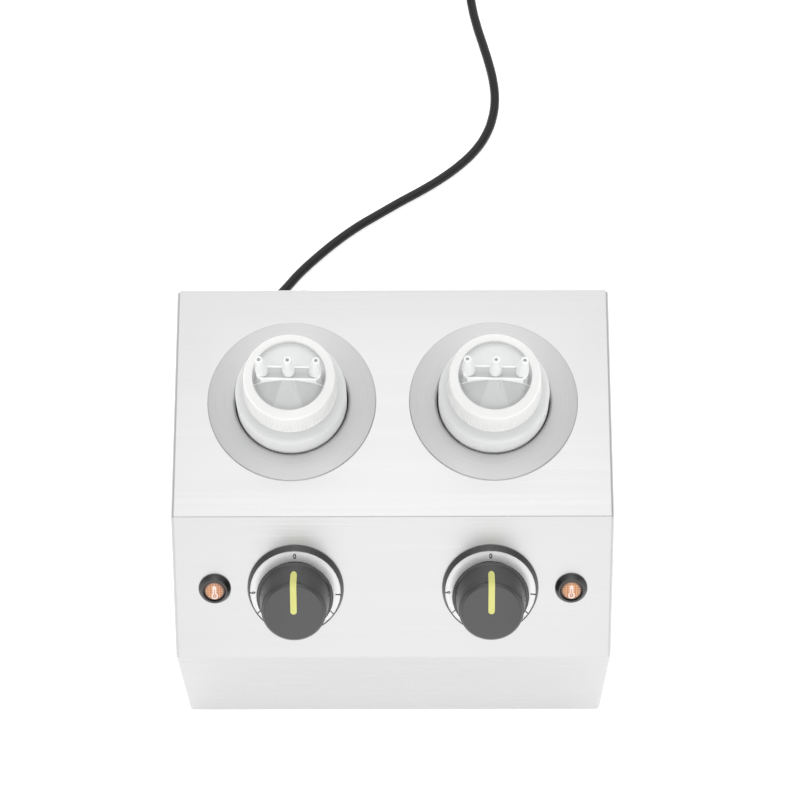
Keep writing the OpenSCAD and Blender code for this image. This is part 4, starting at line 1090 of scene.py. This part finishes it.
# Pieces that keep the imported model's shape, by the record's slots
kept = {
    "casing_steel": casingSteel,
    "fixing_steel": zincSteel,
    "heater_sheath": platedMetal("aluminisedSheet", "#A9A596", "#C0BCAD", 0.42),
    "mineral_wool": pressedWool(),
    "thermostat_body": platedMetal("galvanisedSheet", "#A8A79F", "#C3C2BA", 0.38),
    "sensor_copper": platedMetal("drawnCopper", "#B87A55", "#C88B66", 0.3),
    "lamp_black": blackNylon,
    "gland_black": blackNylon,
    "terminal_plastic": mouldedPlastic("ivoryPolyamide", "#DAD6C8", "#E2DED1", 0.5),
    "brass": platedMetal("turnedBrass", "#BF9C55", "#D0AE68", 0.28),
    "wire_brown": mouldedPlastic("brownSilicone", "#3B2214", "#472B1B", 0.45),
    "wire_blue": mouldedPlastic("blueSilicone", "#21407F", "#294A8C", 0.45),
    "wire_green": mouldedPlastic("greenSilicone", "#4C7A25", "#58872E", 0.45),
    "plug_nickel": platedMetal("nickelPlatedBrass", "#C6C1B3", "#D6D2C6", 0.22),
}


def dressKept():
    for piece in frame["nodes"].values():
        if not piece.hide_render:
            for slot in piece.material_slots:
                slot.material = kept[slot.material.name.split(".")[0]]


dressKept()
print("inner and small pieces finished")

# Studio: a white light table, near-white surroundings that are brightest in the middle and
# darker behind the camera and high at the sides, and two soft boxes, overhead and in front
studio = {
    "floor": 30.0, "glow": 0.58,  # metres, and the light table's own light
    "level": 1.27, "peak": 0.33, "peakWidth": 0.26, "sideLevel": 0.45, "sideLow": 1.25,
    "lowFade": (0.25, 0.6), "sideFade": (0.22, 0.75),  # parts of a direction, up and aside
    "darkLevel": 0.3, "darkInner": 6, "darkOuter": 15,  # degrees round the camera
    "boxes": {"overhead": {"at": (0, 0.3, 3.4), "size": (1.1, 1.9), "light": 0.5},
              "front": {"at": (0, -3.25, 1.42), "size": (1.1, 1.2), "light": 0.26}},
}


def makeFloor():
    freeSelection()
    bpy.ops.mesh.primitive_plane_add(size=studio["floor"])
    floor = bpy.context.object
    floor.name = "floor"
    material, tree = startMaterial("opalAcrylic")
    cloud = mottling(tree, 33.3)
    floor.data.materials.append(coat(material, {
        "Base Color": between(tree, cloud, "#F4F4F4", "#F8F8F8"), "Roughness": 0.9,
        "Emission Color": "#FFFFFF", "Emission Strength": studio["glow"]}))


def makeSurroundings():
    world = bpy.data.worlds.new("paleStudio")
    bpy.context.scene.world = world
    world.use_nodes = True
    tree = world.node_tree
    tree.nodes.clear()
    way = addNode(tree, "TexCoord").outputs["Generated"]
    parts = addNode(tree, "SeparateXYZ", way).outputs
    aside = addNode(tree, "Math", parts[0], operation="ABSOLUTE")
    smooth = {"interpolation_type": "SMOOTHSTEP"}
    sideLevel = addNode(tree, "MapRange", parts[2], *studio["lowFade"],
                        studio["sideLow"], studio["sideLevel"], **smooth)
    level = addNode(tree, "MapRange", aside, *studio["sideFade"], studio["level"], sideLevel,
                    **smooth)
    peak = addNode(tree, "MapRange", aside, 0.0, studio["peakWidth"], studio["peak"], 0.0,
                   **smooth)
    lit = addNode(tree, "Math", level, peak, operation="ADD")
    fromObject = Vector(cameraFacts["place"]).normalized()
    facing = addNode(tree, "VectorMath", way, fromObject, operation="DOT_PRODUCT")
    outer, inner = (math.cos(math.radians(studio[key])) for key in ("darkOuter", "darkInner"))
    dark = addNode(tree, "MapRange", facing, outer, inner, lit, studio["darkLevel"], **smooth)
    sky = addNode(tree, "Background", {"Color": "#FFFFFF", "Strength": dark})
    addNode(tree, "OutputWorld", sky)


def makeSoftBoxes():
    for name, box in studio["boxes"].items():
        bpy.ops.object.light_add(type="AREA", location=box["at"])
        light = bpy.context.object
        light.name = f"{name}SoftBox"
        light.rotation_euler = (-Vector(box["at"])).to_track_quat("-Z", "Y").to_euler()
        light.data.shape = "RECTANGLE"
        light.data.size, light.data.size_y = box["size"]
        light.data.energy = box["light"] * math.pi * box["size"][0] * box["size"][1]


makeFloor()
makeSurroundings()
makeSoftBoxes()
bpy.context.scene.view_settings.view_transform = "Standard"
print("studio lit")
